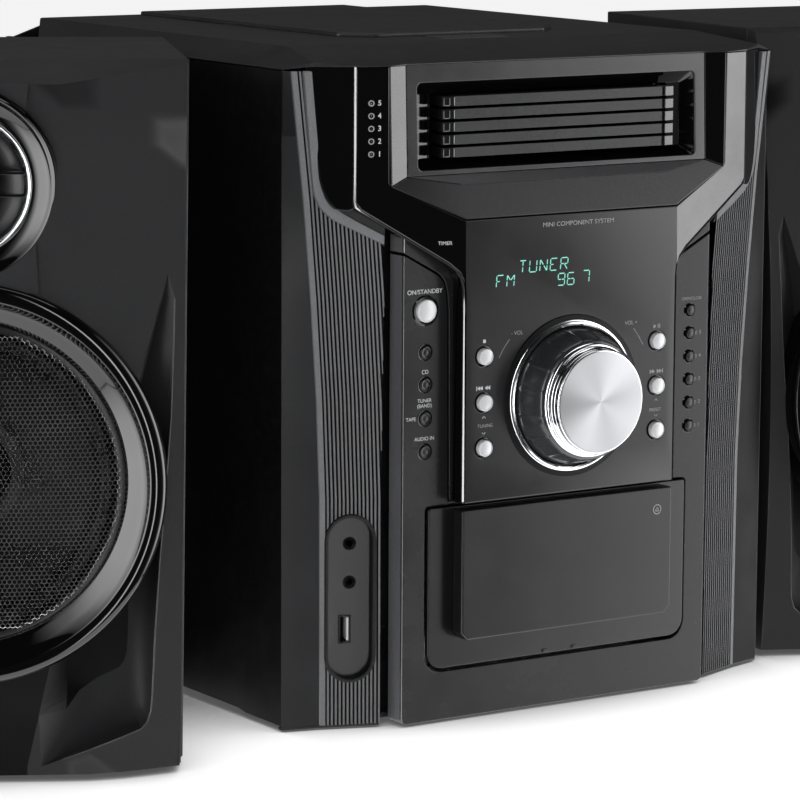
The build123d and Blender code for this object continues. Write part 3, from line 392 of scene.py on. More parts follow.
def plate(name, loops, depth, mat, body, slot, front_fn, to=W, bevel=0.5, segs=3, back=None, creases=(), back_fn=None, **kw):
    """outline with holes in (x, z); front_fn(x, z) gives the front y, the plate is depth thick, edges rounded;
    creases are lines ((x0, z0), (x1, z1)) kept as edges of the surface"""
    pts, edges = [], []
    faces_in = []
    for lp in loops:
        i0 = len(pts)
        pts += [Vector(p) for p in lp]
        k = len(lp)
        edges += [(i0 + i, i0 + (i + 1) % k) for i in range(k)]
    for a, b in creases:
        i0 = len(pts)
        pts += [Vector(a), Vector(b)]
        edges.append((i0, i0 + 1))
    v, e, f, ov, oe, of = delaunay_2d_cdt(pts, edges, faces_in, 0, 1e-5)

    def inside(p, lp):
        c = False
        j = len(lp) - 1
        for i in range(len(lp)):
            xi, yi = lp[i]
            xj, yj = lp[j]
            if (yi > p[1]) != (yj > p[1]) and p[0] < (xj - xi) * (p[1] - yi) / (yj - yi) + xi:
                c = not c
            j = i
        return c
    keep = []
    for t in f:
        c = (sum(v[i][0] for i in t) / len(t), sum(v[i][1] for i in t) / len(t))
        if inside(c, loops[0]) and not any(inside(c, h) for h in loops[1:]):
            keep.append(t)
    bm = bmesh.new()
    fv = [bm.verts.new((p[0], front_fn(p[0], p[1]), p[1])) for p in v]
    bf = back_fn or (lambda x, z: front_fn(x, z) + depth)
    bv = [bm.verts.new((p[0], bf(p[0], p[1]), p[1])) for p in v]
    cnt = {}
    for t in keep:
        bm.faces.new([fv[i] for i in t])
        bm.faces.new([bv[i] for i in reversed(t)])
        for i in range(len(t)):
            a, b = t[i], t[(i + 1) % len(t)]
            cnt[(a, b)] = 1
    for (a, b) in list(cnt):
        if (b, a) not in cnt:
            bm.faces.new([fv[b], fv[a], bv[a], bv[b]])
    loose = [x for x in bm.verts if not x.link_faces]
    bmesh.ops.delete(bm, geom=loose, context="VERTS")
    bmesh.ops.recalc_face_normals(bm, faces=bm.faces)
    bmesh.ops.dissolve_limit(bm, angle_limit=math.radians(0.4), verts=bm.verts, edges=bm.edges, delimit=set())
    for x in bm.verts:
        x.co = to(tuple(x.co))
    bmesh.ops.recalc_face_normals(bm, faces=bm.faces)
    me = bpy.data.meshes.new(name)
    bm.to_mesh(me)
    bm.free()
    return finish_mesh(name, me, mat, body, slot, bevel=bevel, segs=segs, **kw)


def lathe(name, prof, axis_pt, mat, body, slot, to=W, n=96, ridges=None, bevel=0.0, close=False, fmat=None, **kw):
    """profile of (radius, depth) turned about a line through axis_pt=(x, z) running front to back"""
    verts, faces, fm = [], [], []
    k = len(prof)
    for i in range(n):
        t = 2 * math.pi * i / n
        for j, (r, y) in enumerate(prof):
            rr = r + (ridges(t, j) if ridges else 0.0)
            verts.append((axis_pt[0] + rr * math.cos(t), y, axis_pt[1] + rr * math.sin(t)))
    for i in range(n):
        a, b = i * k, ((i + 1) % n) * k
        for j in range(k - 1):
            faces.append((a + j, b + j, b + j + 1, a + j + 1))
            fm.append(fmat[j] if fmat else 0)
        if close:
            faces.append((a + k - 1, b + k - 1, b, a))
            fm.append(fmat[-1] if fmat else 0)
    me = bpy.data.meshes.new(name)
    me.from_pydata([to(v) for v in verts], [], faces)
    for p, i in zip(me.polygons, fm):
        p.material_index = i
    bm = bmesh.new()
    bm.from_mesh(me)
    bmesh.ops.remove_doubles(bm, verts=bm.verts, dist=1e-6)
    bmesh.ops.dissolve_degenerate(bm, dist=1e-7, edges=bm.edges)
    bmesh.ops.recalc_face_normals(bm, faces=bm.faces)
    bm.to_mesh(me)
    bm.free()
    return finish_mesh(name, me, mat, body, slot, bevel=bevel, **kw)


def text(name, s, x, z, size, mat, body, slot, y_fn, align="CENTER", lift=0.06, spacing=1.0, squeeze=1.0, weight=0.0):
    """printed lettering laid on the surface"""
    c = bpy.data.curves.new(name, "FONT")
    c.body = s
    c.size = size
    c.align_x = align
    c.align_y = "CENTER"
    c.space_character = spacing
    c.offset = weight
    t = bpy.data.objects.new(name + "_tmp", c)
    bpy.context.scene.collection.objects.link(t)
    bpy.context.view_layer.update()
    me = bpy.data.meshes.new_from_object(t)
    bpy.data.objects.remove(t)
    me.name = name
    for v in me.vertices:
        px, pz = x + v.co.x * squeeze, z + v.co.y
        v.co = W((px, y_fn(px, pz) - lift, pz))
    me.materials.clear()
    return finish_mesh(name, me, mat, body, slot, smooth=False)


def strokes(name, segs, width, mat, body, slot, y_fn, lift=0.06, thick=0.05):
    """thin printed lines or display segments with pointed ends"""
    verts, faces = [], []
    for (x0, z0), (x1, z1) in segs:
        d = Vector((x1 - x0, z1 - z0))
        L = d.length
        d.normalize()
        nrm = Vector((-d.y, d.x)) * (width / 2)
        tip = d * min(width / 2, L * 0.3)
        p0, p1 = Vector((x0, z0)), Vector((x1, z1))
        ring = [p0, p0 + tip + nrm, p1 - tip + nrm, p1, p1 - tip - nrm, p0 + tip - nrm]
        b = len(verts)
        for q in ring:
            verts.append((q.x, y_fn(q.x, q.y) - lift, q.y))
        faces.append(tuple(range(b, b + 6)))
    return poly(name, verts, faces, mat, body, slot, smooth=False)


def facet_y(x, z=0):
    return -10 + 0.272 * max(0.0, abs(x) - 62.0)


def flat(y):
    return lambda x, z: y


MAIN = "main_unit"

# ---------------------------------------------------------------- camera
C0 = Vector((-1065.67, -1647.84, 450.71)) / 1000.0
ya, pi_, ro = math.radians(33.32568877), math.radians(9.14729755), math.radians(0.32844431)
fwd = Vector((math.sin(ya) * math.cos(pi_), math.cos(ya) * math.cos(pi_), -math.sin(pi_)))
right = Vector((math.cos(ya), -math.sin(ya), 0))
up = right.cross(fwd)
right2 = right * math.cos(ro) + up * math.sin(ro)
up2 = up * math.cos(ro) - right * math.sin(ro)
cam = bpy.data.cameras.new("camera")
cam.sensor_width = 36.0
cam.lens = 175.363
cam.clip_start = 0.05
cam.clip_end = 60
camo = bpy.data.objects.new("camera", cam)
bpy.context.scene.collection.objects.link(camo)
R = Matrix((right2, up2, -fwd)).transposed().to_4x4()
camo.matrix_world = Matrix.Translation(C0) @ R
bpy.context.scene.camera = camo

# ---------------------------------------------------------------- top cover
OUT = [(-143, 23.5), (-131, 15.5), (-114.9, 4.4), (-98.6, 0.2), (-87.4, 3.6), (87.4, 3.6), (98.6, 0.2), (114.9, 4.4), (131, 15.5), (143, 23.5), (143, 262), (121.5, 300), (-121.5, 300), (-143, 262)]


def cover_z(x, y):
    zs = 326 - max(0.0, abs(x) - 120.5) * 8.0 / 22.5
    zf = 326 - max(0.0, 55 - y) * 6.2 / 50.6
    return min(326.0, zs, zf)


def make_cover():
    pts = [Vector(p) for p in OUT]
    k = len(pts)
    edges = [(i, (i + 1) % k) for i in range(k)]
    ext = [((-120.5, 55), (-120.5, 300)), ((120.5, 55), (120.5, 300)), ((-120.5, 55), (120.5, 55)), ((-120.5, 55), (-143, 23.5)), ((120.5, 55), (143, 23.5))]
    for a, b in ext:
        i = len(pts)
        pts += [Vector(a), Vector(b)]
        edges.append((i, i + 1))
    v, e, f, *_ = delaunay_2d_cdt(pts, edges, [], 0, 1e-5)
    bm = bmesh.new()
    top = [bm.verts.new((p[0], p[1], cover_z(p[0], p[1]))) for p in v]
    low = [bm.verts.new((p[0], p[1], 317.7 if p[1] > 24 else 319.2 if abs(p[0]) < 132 else 317.7)) for p in v]
    used = {}
    for t in f:
        c = (sum(v[i][0] for i in t) / 3, sum(v[i][1] for i in t) / 3)
        # keep what lies inside the outline (the front edge is slightly concave at the recess)
        ins = False
        j = len(OUT) - 1
        for i in range(len(OUT)):
            xi, yi = OUT[i]
            xj, yj = OUT[j]
            if (yi > c[1]) != (yj > c[1]) and c[0] < (xj - xi) * (c[1] - yi) / (yj - yi) + xi:
                ins = not ins
            j = i
        if not ins:
            continue
        bm.faces.new([top[i] for i in t])
        bm.faces.new([low[i] for i in reversed(t)])
        for i in range(3):
            used[(t[i], t[(i + 1) % 3])] = 1
    for a, b in list(used):
        if (b, a) not in used:
            bm.faces.new([top[b], top[a], low[a], low[b]])
    bmesh.ops.delete(bm, geom=[x for x in bm.verts if not x.link_faces], context="VERTS")
    bmesh.ops.recalc_face_normals(bm, faces=bm.faces)
    bmesh.ops.dissolve_limit(bm, angle_limit=math.radians(0.5), verts=bm.verts, edges=bm.edges, delimit=set())
    for x in bm.verts:
        x.co = W(tuple(x.co))
    me = bpy.data.meshes.new("top_shell")
    bm.to_mesh(me)
    bm.free()
    o = finish_mesh("top_shell", me, M["cover"], MAIN, "cover_top", bevel=1.4, segs=4, limit=9.0)
    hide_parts("top_cover")
    return o


make_cover()


def slab(name, loop, z0, z1, mat, body, slot, bevel=0.6, segs=3):
    """flat outline in (x, y) with rounded upper edges"""
    k = len(loop)
    verts = [(x, y, z0) for x, y in loop] + [(x, y, z1) for x, y in loop]
    faces = [tuple(range(k, 2 * k)), tuple(reversed(range(k)))] + [(i, (i + 1) % k, k + (i + 1) % k, k + i) for i in range(k)]
    return poly(name, verts, faces, mat, body, slot, bevel=bevel, segs=segs)


LID = [(-64, 100), (-50, 86), (50, 86), (64, 100), (64, 296), (-64, 296)]
slab("top_lid", rounded(LID, [3, 3, 3, 3, 1.5, 1.5], 4), 325.4, 328.0, M["cover"], MAIN, "cover_top", bevel=0.9)
slab("top_badge", rounded([(-26, 62), (13, 62), (13, 84), (-26, 84)], 3, 4), 325.7, 326.18, M["badge"], MAIN, "cover_top", bevel=0.1, segs=2)

# ---------------------------------------------------------------- front: lower column with the door opening
col_out = rounded([(-90, 6.6), (90, 6.6), (90, 246), (-90, 246)], [2.5, 2.5, 1, 1], 4)
door_hole = rounded([(-77.4, 28.2), (77.4, 28.2), (77.4, 109.4), (-77.4, 109.4)], [9.6, 9.6, 2, 2], 8)
holes = [door_hole, circle(-78, 203.6, 5.9, 32)]
for z in (183.7, 168.3, 152.1, 136.2):
    holes.append(circle(-78, z, 3.8, 28))
for z in (192.9, 181.5, 169.9, 158.4, 146.8, 135.2):
    holes.append(circle(78.6, z, 3.1, 24))
holes.append([(-60.5, 111.5), (60.5, 111.5), (60.5, 206), (-60.5, 206)])
holes = holes[:-1]
GR = [(-90.0, 230.4), (-79.2, 224.6), (-72.3, 220.8), (-69.6, 218.9), (-67.6, 216.2), (-66.3, 211.6), (-65.4, 202.0), (-64.4, 111.2)]
col_out = [(-87.5, 4.6), (87.5, 4.6), (89.3, 5.4), (90, 7.1)] + [(-x, z) for x, z in GR] + GR[::-1] + [(-90, 7.1), (-89.3, 5.4)]
G2 = [(x + (0.55 if z > 217 else 0.85), z + (0.75 if z > 217 else 0.3 if z > 203 else 0.0)) for x, z in GR]
G2[0] = (-90.0, 231.5)
col_rim = G2 + [(-60.5, 111.2), (-60.5, 206), (60.5, 206), (60.5, 111.2)] + [(-x, z) for x, z in G2[::-1]] + [(90, 246), (-90, 246)]
o = plate("column_face", [col_out] + holes, 12.6, [M["column"], M["column_side_painted_light"]], MAIN, "front_satin", flat(0.0), bevel=0.55, segs=3, clamp=False)
o2 = plate("column_rim", [col_rim], 12.6, [M["column"], M["column_side_painted_light"]], MAIN, "front_satin", flat(0.0), bevel=0.4, segs=3, clamp=False)
# side walls of the column take the lighter copy of the column plastic: painted light
for q in (o, o2):
    for p in q.data.polygons:
        if abs(p.normal.x) > 0.7 and abs(abs(p.center.x * 1000 - OX) - 90) < 0.6:
            p.material_index = 1
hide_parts("front_column")
plate("column_backing", [[(-89, 8), (89, 8), (89, 244), (-89, 244)], [(-78, 28), (78, 28), (78, 111), (-78, 111)], [(-60, 112), (60, 112), (60, 205), (-60, 205)]], 1.0, M["cavity"], MAIN, "front_satin", flat(12.4), bevel=0.1, segs=1)
for sd, nm in ((-1, "left"), (1, "right")):
    for (za, zb), tag in (((7.4, 230.0), "low"), ((231.8, 245.8), "high")):
        lp = [(sd * 89.4, -0.04), (sd * 90.35, 0.365), (sd * 90.35, 1.4), (sd * 89.4, 1.0)]
        slab(f"{nm}_column_edge_{tag}", lp if sd > 0 else lp[::-1], za, zb, M["bead"], MAIN, "front_satin", bevel=0.08, segs=1)
# door surround: a shallow step inside the opening
plate("door_surround", [rounded([(-80.5, 25.2), (80.5, 25.2), (80.5, 110.4), (-80.5, 110.4)], [10, 10, 2, 2], 8), rounded([(-77.4, 28.0), (77.4, 28.0), (77.4, 109.6), (-77.4, 109.6)], [9, 9, 2, 2], 8)],
      10.5, M["cavity"], MAIN, "front_satin", flat(2.2), bevel=0.4, segs=2)
# switch board shield behind the button wells
plate("well_backing", [[(-88, 118), (88, 118), (88, 226), (-88, 226)], circle(0, KZ, 10, 32)], 0.8, M["cavity"], MAIN, "front_satin", flat(13.6), bevel=0.1, segs=1)

# ---------------------------------------------------------------- gloss moulding: plate and two legs
gl = [(-114.9, 319.3), (-115.2, 256), (-112.5, 252.6), (-102, 246.0), (-70, 226), (-65.2, 221.6), (-62.9, 216.5), (-62.6, 211), (-62.6, 110.8)]
gr = [(62.6, 110.8), (62.6, 211), (62.9, 216.5), (65.2, 221.6), (70, 226), (102, 246.0), (112.5, 252.6), (115.2, 256), (114.9, 319.3)]
notch = [(98.5, 319.3), (98.2, 265.2), (97.3, 263.4), (62.2, 246.6), (-62.2, 246.6), (-97.3, 263.4), (-98.2, 265.2), (-98.5, 319.3)]
gh = [circle(0, KZ, 36.2, 96)]
for z in (181.0, 158.9, 137.1):
    gh += [circle(-51, z, 4.5, 32), circle(51, z, 4.5, 32)]
gloss = plate("gloss_moulding", [gl + gr + notch] + gh, 9.8, [M["gloss"], M["plate"], M["bezel"]], MAIN, "front_gloss", facet_y, bevel=1.1, segs=5, limit=40, clamp=False,
              creases=[((-62, 110.8), (-62, 246.8)), ((62, 110.8), (62, 246.8))])
for p in gloss.data.polygons:
    c = p.center * 1000
    if abs(c.x - OX) < 62.0 and c.z < 247 + OZ and p.normal.y < -0.9:
        p.material_index = 1
    # the right facet takes the lighter satin while the left facet stays black gloss: painted light on the right facet
    elif c.x - OX > 62.0 and p.normal.y < -0.9:
        p.material_index = 2
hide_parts("front_panel")

for s, nm in ((-1, "left"), (1, "right")):
    path = [(114.75, 319.2), (114.75, 270.0), (114.9, 256.6), (114.3, 254.0), (112.2, 252.2), (102, 245.7), (86, 235.7), (70, 225.7), (66.2, 222.6), (64.0, 219.4), (62.7, 214.5), (62.4, 208.0), (62.4, 160.0), (62.4, 112.0)]
    bv, bfc = [], []
    for i, (x, z) in enumerate(path):
        a = Vector(path[max(0, i - 1)])
        c = Vector(path[min(len(path) - 1, i + 1)])
        t = (c - a).normalized()
        nx, nz = (-t.y, t.x)
        if i < 9 and nx < 0 and nz > 0:
            nx, nz = -nx, -nz
        up_ = Vector((nx, nz))
        if up_.x < 0 and i < 4:
            up_ = -up_
        if i >= 4 and up_.y > 0:
            up_ = -up_
        if i >= 11:
            up_ = Vector((1.0, 0.0))
        y = facet_y(x) + 0.0
        w = 0.42 if i < 4 or i > 10 else 0.24
        dy = 0.315 if i < 4 or i > 10 else 0.10
        # across the bead: inner edge on the facet, outer edge a little back
        bv += [(s * (x - up_.x * w), y + 0.7, z - up_.y * w), (s * (x - up_.x * w), y - 0.06, z - up_.y * w), (s * (x + up_.x * w), y + dy, z + up_.y * w), (s * (x + up_.x * w), y + 1.2, z + up_.y * w)]
    for i in range(len(path) - 1):
        for b in range(3):
            k0 = i * 4 + b
            bfc.append((k0, k0 + 1, k0 + 5, k0 + 4))
    poly(nm + "_edge_bead", bv, bfc, M["bead"], MAIN, "front_gloss", sharp=15)

# black cheeks that run back to the side seams
CHEEK = [(114.95, 319.3), (133.5, 318.8), (130.7, 290.0), (128.2, 267.2), (127.1, 262.8), (125.3, 258.0), (123.8, 255.5), (121.8, 253.2), (120.4, 252.6), (117.2, 252.4),
         (115.1, 253.2), (115.1, 256.4)]
GUSSET = [(97.3, 234.5), (109.2, 245.0), (112.9, 247.2), (116.7, 249.3), (119.4, 251.4), (122.0, 254.2), (119.6, 254.4), (114.4, 255.2), (110.5, 254.2), (97.3, 244.5)]


def within(p, lp):
    c = False
    j = len(lp) - 1
    for i in range(len(lp)):
        xi, yi = lp[i]
        xj, yj = lp[j]
        if (yi > p[1]) != (yj > p[1]) and p[0] < (xj - xi) * (p[1] - yi) / (yj - yi) + xi:
            c = not c
        j = i
    return c


for s, nm in ((-1, "left"), (1, "right")):
    ck = [(s * x, z) for x, z in CHEEK]
    if s > 0:
        ck = ck[::-1]

    def cy(x, z):
        return 4.7 + max(0.0, abs(x) - 114.9) * 0.69 - min(0.0, abs(x) - 114.9) * 0.05
    plate(nm + "_cheek", [ck], 6.0, M["gloss"], MAIN, "front_satin", cy, bevel=0.5, segs=3, limit=40)

# ---------------------------------------------------------------- tray window frame
fy = lambda z: 1.5 + (z - 267) * 2.0 / 52.4
win = rounded([(-81.3, 269.6), (81.3, 269.6), (81.3, 310.5), (-81.3, 310.5)], 2.6, 5)
wo = plate("window_frame", [[(-87.5, 267), (87.5, 267), (87.5, 319.3), (-87.5, 319.3)], win], 2.4, M["bezel"], MAIN, "front_satin", lambda x, z: fy(z), bevel=0.55, segs=3)
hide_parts("upper_bezel")
bz = [(-87.4, 1.6, 267), (87.4, 1.6, 267), (60, -2.7, 262.7), (-60, -2.7, 262.7), (-97.9, -0.9, 263.2), (-61.9, -10.3, 246.9), (61.9, -10.3, 246.9), (97.9, -0.9, 263.2)]
bzb = [(x, y + 6, z) for x, y, z in bz]
bf = [(0, 1, 2, 3), (3, 2, 6, 5), (0, 3, 5, 4), (2, 1, 7, 6)]
bb = [tuple(8 + i for i in reversed(f)) for f in bf]
rim = [(1, 0), (0, 4), (4, 5), (5, 6), (6, 7), (7, 1)]
# the chin's upper ledge face takes the lighter ledge colour: painted light on the top face
poly("chin", bz + bzb, bf + bb + [(a, b, 8 + b, 8 + a) for a, b in rim], [M["chin"], M["wedge"]], MAIN, "front_satin", fmat=[1] + [0] * 13, bevel=0.6, segs=3, limit=8)
for s, nm in ((-1, "left"), (1, "right")):
    q = [(s * 87.4, 3.5, 319.3), (s * 87.4, 1.6, 267), (s * 97.9, -0.9, 263.2), (s * 98.6, 0.1, 319.3)]
    qb = [(x, y + 6, z) for x, y, z in q]
    # mirror-image walls in different colours: the lighter satin on the left is painted light, the black gloss on the
    # right painted shade
    poly(nm + "_recess_wall", q + qb, [(0, 1, 2, 3), (7, 6, 5, 4), (0, 4, 5, 1), (1, 5, 6, 2), (2, 6, 7, 3), (3, 7, 4, 0)], M["bezel"] if s < 0 else M["gloss"], MAIN, "front_satin", bevel=0.6, segs=3)
# funnel
n0 = rounded([(-81.3, 269.6), (81.3, 269.6), (81.3, 310.5), (-81.3, 310.5)], 2.6, 5)
n1 = rounded([(-78.0, 273.8), (78.0, 273.8), (78.0, 304.9), (-78.0, 304.9)], 1.6, 5)
n2 = rounded([(-70.4, 274.2), (70.4, 274.2), (70.4, 304.5), (-70.4, 304.5)], 0.8, 5)
k = len(n0)
fv = [(x, fy(z) + 1.2, z) for x, z in n0] + [(x, 10.6, z) for x, z in n1] + [(x, 11.2, z) for x, z in n2] + [(x, 24, z) for x, z in n2]
ff = []
for r in range(3):
    ff += [(r * k + i, r * k + (i + 1) % k, (r + 1) * k + (i + 1) % k, (r + 1) * k + i) for i in range(k)]
poly("tray_funnel", fv, ff, M["gloss"], MAIN, "front_satin", sharp=30)

# ---------------------------------------------------------------- disc trays
NUM = ("one", "two", "three", "four", "five")
for i, nm in enumerate(NUM):
    z0 = 275.0 + i * 6.03
    body = f"disc_tray_{nm}_body"
    lp = [(-61.2, 1.65), (60.6, 1.65), (61.6, 2.3), (61.6, 6.4), (-62.9, 6.4), (-62.9, 2.45)]
    slab(f"tray_{nm}_fascia", lp, z0 - 0.05, z0 + 4.65, M["tray"], body, "tray", bevel=0.22, segs=2)
    # light-coloured sliver on the tray's left crease: painted highlight
    slab(f"tray_{nm}_crease_painted_highlight", [(-61.15, 1.60), (-62.75, 2.32), (-62.75, 2.62), (-61.15, 1.92)], z0 + 0.35, z0 + 4.2, M["label"], body, "tray", bevel=0.05, segs=1)
    slab(f"tray_{nm}_end_right", [(61.9, 0.75), (67.6, 1.62), (67.6, 6.4), (61.9, 6.4)], z0 - 0.05, z0 + 4.65, M["bezel"], body, "tray", bevel=0.3, segs=2)
    # light lines along the tray end's edges: painted edge highlights
    for (qa, qb) in (((-67.2, z0 + 0.5), (-67.2, z0 + 4.1)), ((-63.9, z0 + 0.5), (-63.9, z0 + 4.1)), ((-67.2, z0 + 0.5), (-63.9, z0 + 0.5))):
        strokes(f"tray_{nm}_line_{int((qa[0] + qb[0]) * 5)}_{int((qa[1] + qb[1]) * 5)}", [(qa, qb)], 0.24, M["label_dim"], body, "tray", flat(1.68), lift=0.03)

# ---------------------------------------------------------------- pillars
XO = [(6.6, 124.6), (114.6, 125.0), (162.6, 126.9), (210, 130.1), (257, 134.1), (317.2, 140.9)]


def xo(z):
    for (z0, a), (z1, b) in zip(XO, XO[1:]):
        if z <= z1:
            return a + (b - a) * (z - z0) / (z1 - z0)
    return XO[-1][1]


cosf, sinf = math.cos(math.radians(20.5)), math.sin(math.radians(20.5))


def pillar(s, nm):
    def face_pt(z, d, lift):
        # d along the face from the outer edge, lift out of it
        x = xo(z) - d * cosf - lift * sinf
        y = 18.5 - d * sinf - lift * cosf
        return x, y

    verts, faces, fmr = [], [], []
    prof = [(0.0, -0.6), (0.25, 0.0), (2.7, 0.0), (3.1, -0.75)]
    d = 3.45
    pitch = 1.92
    while d < 36.0:
        for f, h in ((0.0, -0.75), (0.12, -0.2), (0.27, 0.0), (0.47, 0.0), (0.62, -0.2), (0.74, -0.75)):
            prof.append((d + pitch * f, h))
        d += pitch
    zs = [4.5 + 1.6 * i for i in range(196)]
    zs = [z for z in zs if z < 317.3] + [317.3]
    nprof = len(prof)
    for z in zs:
        for (dd, h) in prof:
            x, y = face_pt(z, dd, h)
            verts.append((s * x, y, z))

    def in_recess(x, z):
        cx, cz, hw, hh = 111.0, 66.5, 11.2, 39.4
        dz = max(0.0, abs(z - cz) - (hh - hw))
        return math.hypot(x - cx, dz) < hw
    for a in range(len(zs) - 1):
        for b in range(nprof - 1):
            i = a * nprof + b
            quad = (i, i + 1, i + nprof + 1, i + nprof)
            cx = sum(abs(verts[q][0]) for q in quad) / 4
            cz = sum(verts[q][2] for q in quad) / 4
            if cx < 97.2:
                continue
            if s < 0 and in_recess(cx, cz):
                continue
            if within((cx, cz), CHEEK) or within((cx, cz), GUSSET):
                continue
            faces.append(quad)
            # the floor of each groove takes a near-black matt material: painted shade between the ribs
            fmr.append(1 if prof[b][1] + prof[b + 1][1] < -0.9 else 0)
    o = poly(nm + "_ribs", verts, faces, [M["pillar"], M["flank"]], MAIN, "pillar", fmat=fmr, sharp=25)
    bm = bmesh.new()
    bm.from_mesh(o.data)
    bmesh.ops.delete(bm, geom=[v for v in bm.verts if not v.link_faces], context="VERTS")
    bm.to_mesh(o.data)
    bm.free()
    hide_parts(nm + "_pillar")
    # side flank between the ribbed face and the side panel, and the inner return beside the column
    fl, ff = [], []
    zz = [4.3, 60, 114.6, 138, 162.6, 186, 210, 234, 257, 287, 317.3]
    for z in zz:
        e = xo(z)
        fl += [(s * 142.6, 24.2, z), (s * 142.6, 23.4, z), (s * (e + 0.6), 18.9, z), (s * (e + 0.1), 18.9, z)]
    for a in range(len(zz) - 1):
        for b in range(3):
            i = a * 4 + b
            ff.append((i, i + 1, i + 5, i + 4))
    # the right flank takes the black matt material where the left one keeps the side plastic: painted shade on the
    # right flank
    poly(nm + "_flank", fl, ff, M["side"] if s < 0 else M["flank"], MAIN, "pillar", sharp=20)
    poly(nm + "_return", [(s * 97.6, 8.6, 6.8), (s * 97.6, 8.6, 318), (s * 97.6, 16, 318), (s * 97.6, 16, 6.8), (s * 86, 16, 6.8), (s * 86, 16, 262), (s * 97.6, 16, 262)], [(0, 1, 2, 3), (3, 6, 5, 4)], M["cavity"], MAIN, "pillar", smooth=False)
    # plinth strip under the ribs
    e = xo(6.8)
    pl = [(s * 97.4, 8.3), (s * (e + 0.4), 18.6), (s * 142.6, 23.4), (s * 142.6, 27), (s * 97.4, 27)]
    slab(nm + "_plinth", pl if s > 0 else pl[::-1], 3.9, 5.4, M["side"], MAIN, "pillar", bevel=0.4)
    # collar: raised band with a spark texture round the gloss cheek
    n = 26

    def along(pts, t):
        L = [0.0]
        for a, b in zip(pts, pts[1:]):
            L.append(L[-1] + math.hypot(b[0] - a[0], b[1] - a[1]))
        q = t * L[-1]
        for i in range(len(pts) - 1):
            if q <= L[i + 1] + 1e-9:
                f = (q - L[i]) / (L[i + 1] - L[i])
                return (pts[i][0] + (pts[i + 1][0] - pts[i][0]) * f, pts[i][1] + (pts[i + 1][1] - pts[i][1]) * f)
        return pts[-1]
    co_s = [(136.0, 317.3), (133.4, 290.1), (130.8, 264.4), (130.1, 260.6), (129.1, 257.3), (128.0, 254.7), (126.4, 252.6), (124.3, 250.4), (121.9, 248.2), (116.0, 244.9), (110.1, 241.8), (98.2, 235.6)]
    ci_s = [(132.3, 317.3), (129.5, 290.1), (127.0, 267.5), (126.0, 263.3), (124.2, 258.6), (122.9, 256.3), (121.1, 254.1), (118.8, 252.2), (116.1, 250.2), (112.9, 248.3), (109.3, 246.1), (98.2, 239.9)]
    cv, cf = [], []
    for q in range(n + 1):
        t = q / n
        p0 = along(co_s, t)
        p1 = along(ci_s, t)
        y0 = 18.5 - (xo(p0[1]) - p0[0]) * 0.374 - 1.0
        y1 = 18.5 - (xo(p1[1]) - p1[0]) * 0.374 - 1.0
        cv += [(s * p0[0], y0 + 2, p0[1]), (s * p0[0], y0 - 0.2, p0[1]), (s * p1[0], y1 - 0.2, p1[1]), (s * p1[0], y1 + 4.2, p1[1])]
    for q in range(n):
        for b in range(3):
            i = q * 4 + b
            cf.append((i, i + 1, i + 5, i + 4))
    cf += [(0, 1, 2, 3), (n * 4 + 3, n * 4 + 2, n * 4 + 1, n * 4)]
    poly(nm + "_collar", cv, cf, M["pillar"], MAIN, "pillar", bevel=0.45, segs=3, limit=35)
    gs = [(s * x, z) for x, z in GUSSET]
    plate(nm + "_gusset", [gs if s < 0 else gs[::-1]], 2.0, M["side"], MAIN, "pillar", lambda x, z: 18.5 - (xo(z) - abs(x)) * 0.374 + 0.5, bevel=0.1, segs=1)


pillar(-1, "left")
pillar(1, "right")

# ---------------------------------------------------------------- jack recess in the left pillar
pc = Vector((-111.0, 13.2, 66.5))
pu = Vector((-cosf, sinf, 0))     # outwards along the face
pn = Vector((-sinf, -cosf, 0))    # out of the face


def pil(p):
    q = pc + pu * (-p[0]) + Vector((0, 0, p[2])) - pn * p[1]
    return W(tuple(q))


def stadium(w, h, n=14):
    r = w / 2
    return [(r * math.cos(math.radians(a)), (h / 2 - r) + r * math.sin(math.radians(a))) for a in [180 * i / n for i in range(n + 1)]] + \
           [(r * math.cos(math.radians(a)), -(h / 2 - r) + r * math.sin(math.radians(a))) for a in [180 + 180 * i / n for i in range(n + 1)]]


o = plate("jack_rim", [stadium(25.0, 81.6), stadium(21.2, 77.8)], 7.0, M["baffle"], MAIN, "jacks", flat(-0.9), to=pil, bevel=0.7, segs=3)
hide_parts("jack_panel")
plate("jack_floor", [stadium(23.0, 79.8), circle(0.4, 25.8, 2.5, 24), circle(0.4, 7.1, 2.5, 24), [(-4.9, -22.4), (0.9, -22.4), (0.9, -8.8), (-4.9, -8.8)]], 1.4, M["leaf"], MAIN, "jacks", flat(4.2), to=pil, bevel=0.3, segs=2)
for i, zc in enumerate((25.8, 7.1)):
    lathe(f"jack_sleeve_{i + 1}", [(1.75, 12), (1.75, 4.3), (2.0, 3.7), (3.0, 3.7), (3.3, 4.4)], (0.4, zc), [M["gloss"], M["nickel"]], MAIN, "jacks", to=pil, n=32, fmat=[1, 1, 0, 0])
plate("port_shell", [[(-4.7, -22.2), (0.7, -22.2), (0.7, -9.0), (-4.7, -9.0)], [(-4.2, -21.7), (0.2, -21.7), (0.2, -9.5), (-4.2, -9.5)]], 9.0, M["gloss"], MAIN, "jacks", flat(4.0), to=pil, bevel=0.12, segs=1)
plate("port_tongue", [[(-0.95, -21.2), (0.1, -21.2), (0.1, -10.0), (-0.95, -10.0)]], 8.0, M["label"], MAIN, "jacks", flat(4.25), to=pil, bevel=0.15, segs=1)
plate("port_back", [[(-6, -24), (2, -24), (2, -7), (-6, -7)]], 0.8, M["cavity"], MAIN, "jacks", flat(13.5), to=pil, bevel=0.1, segs=1)

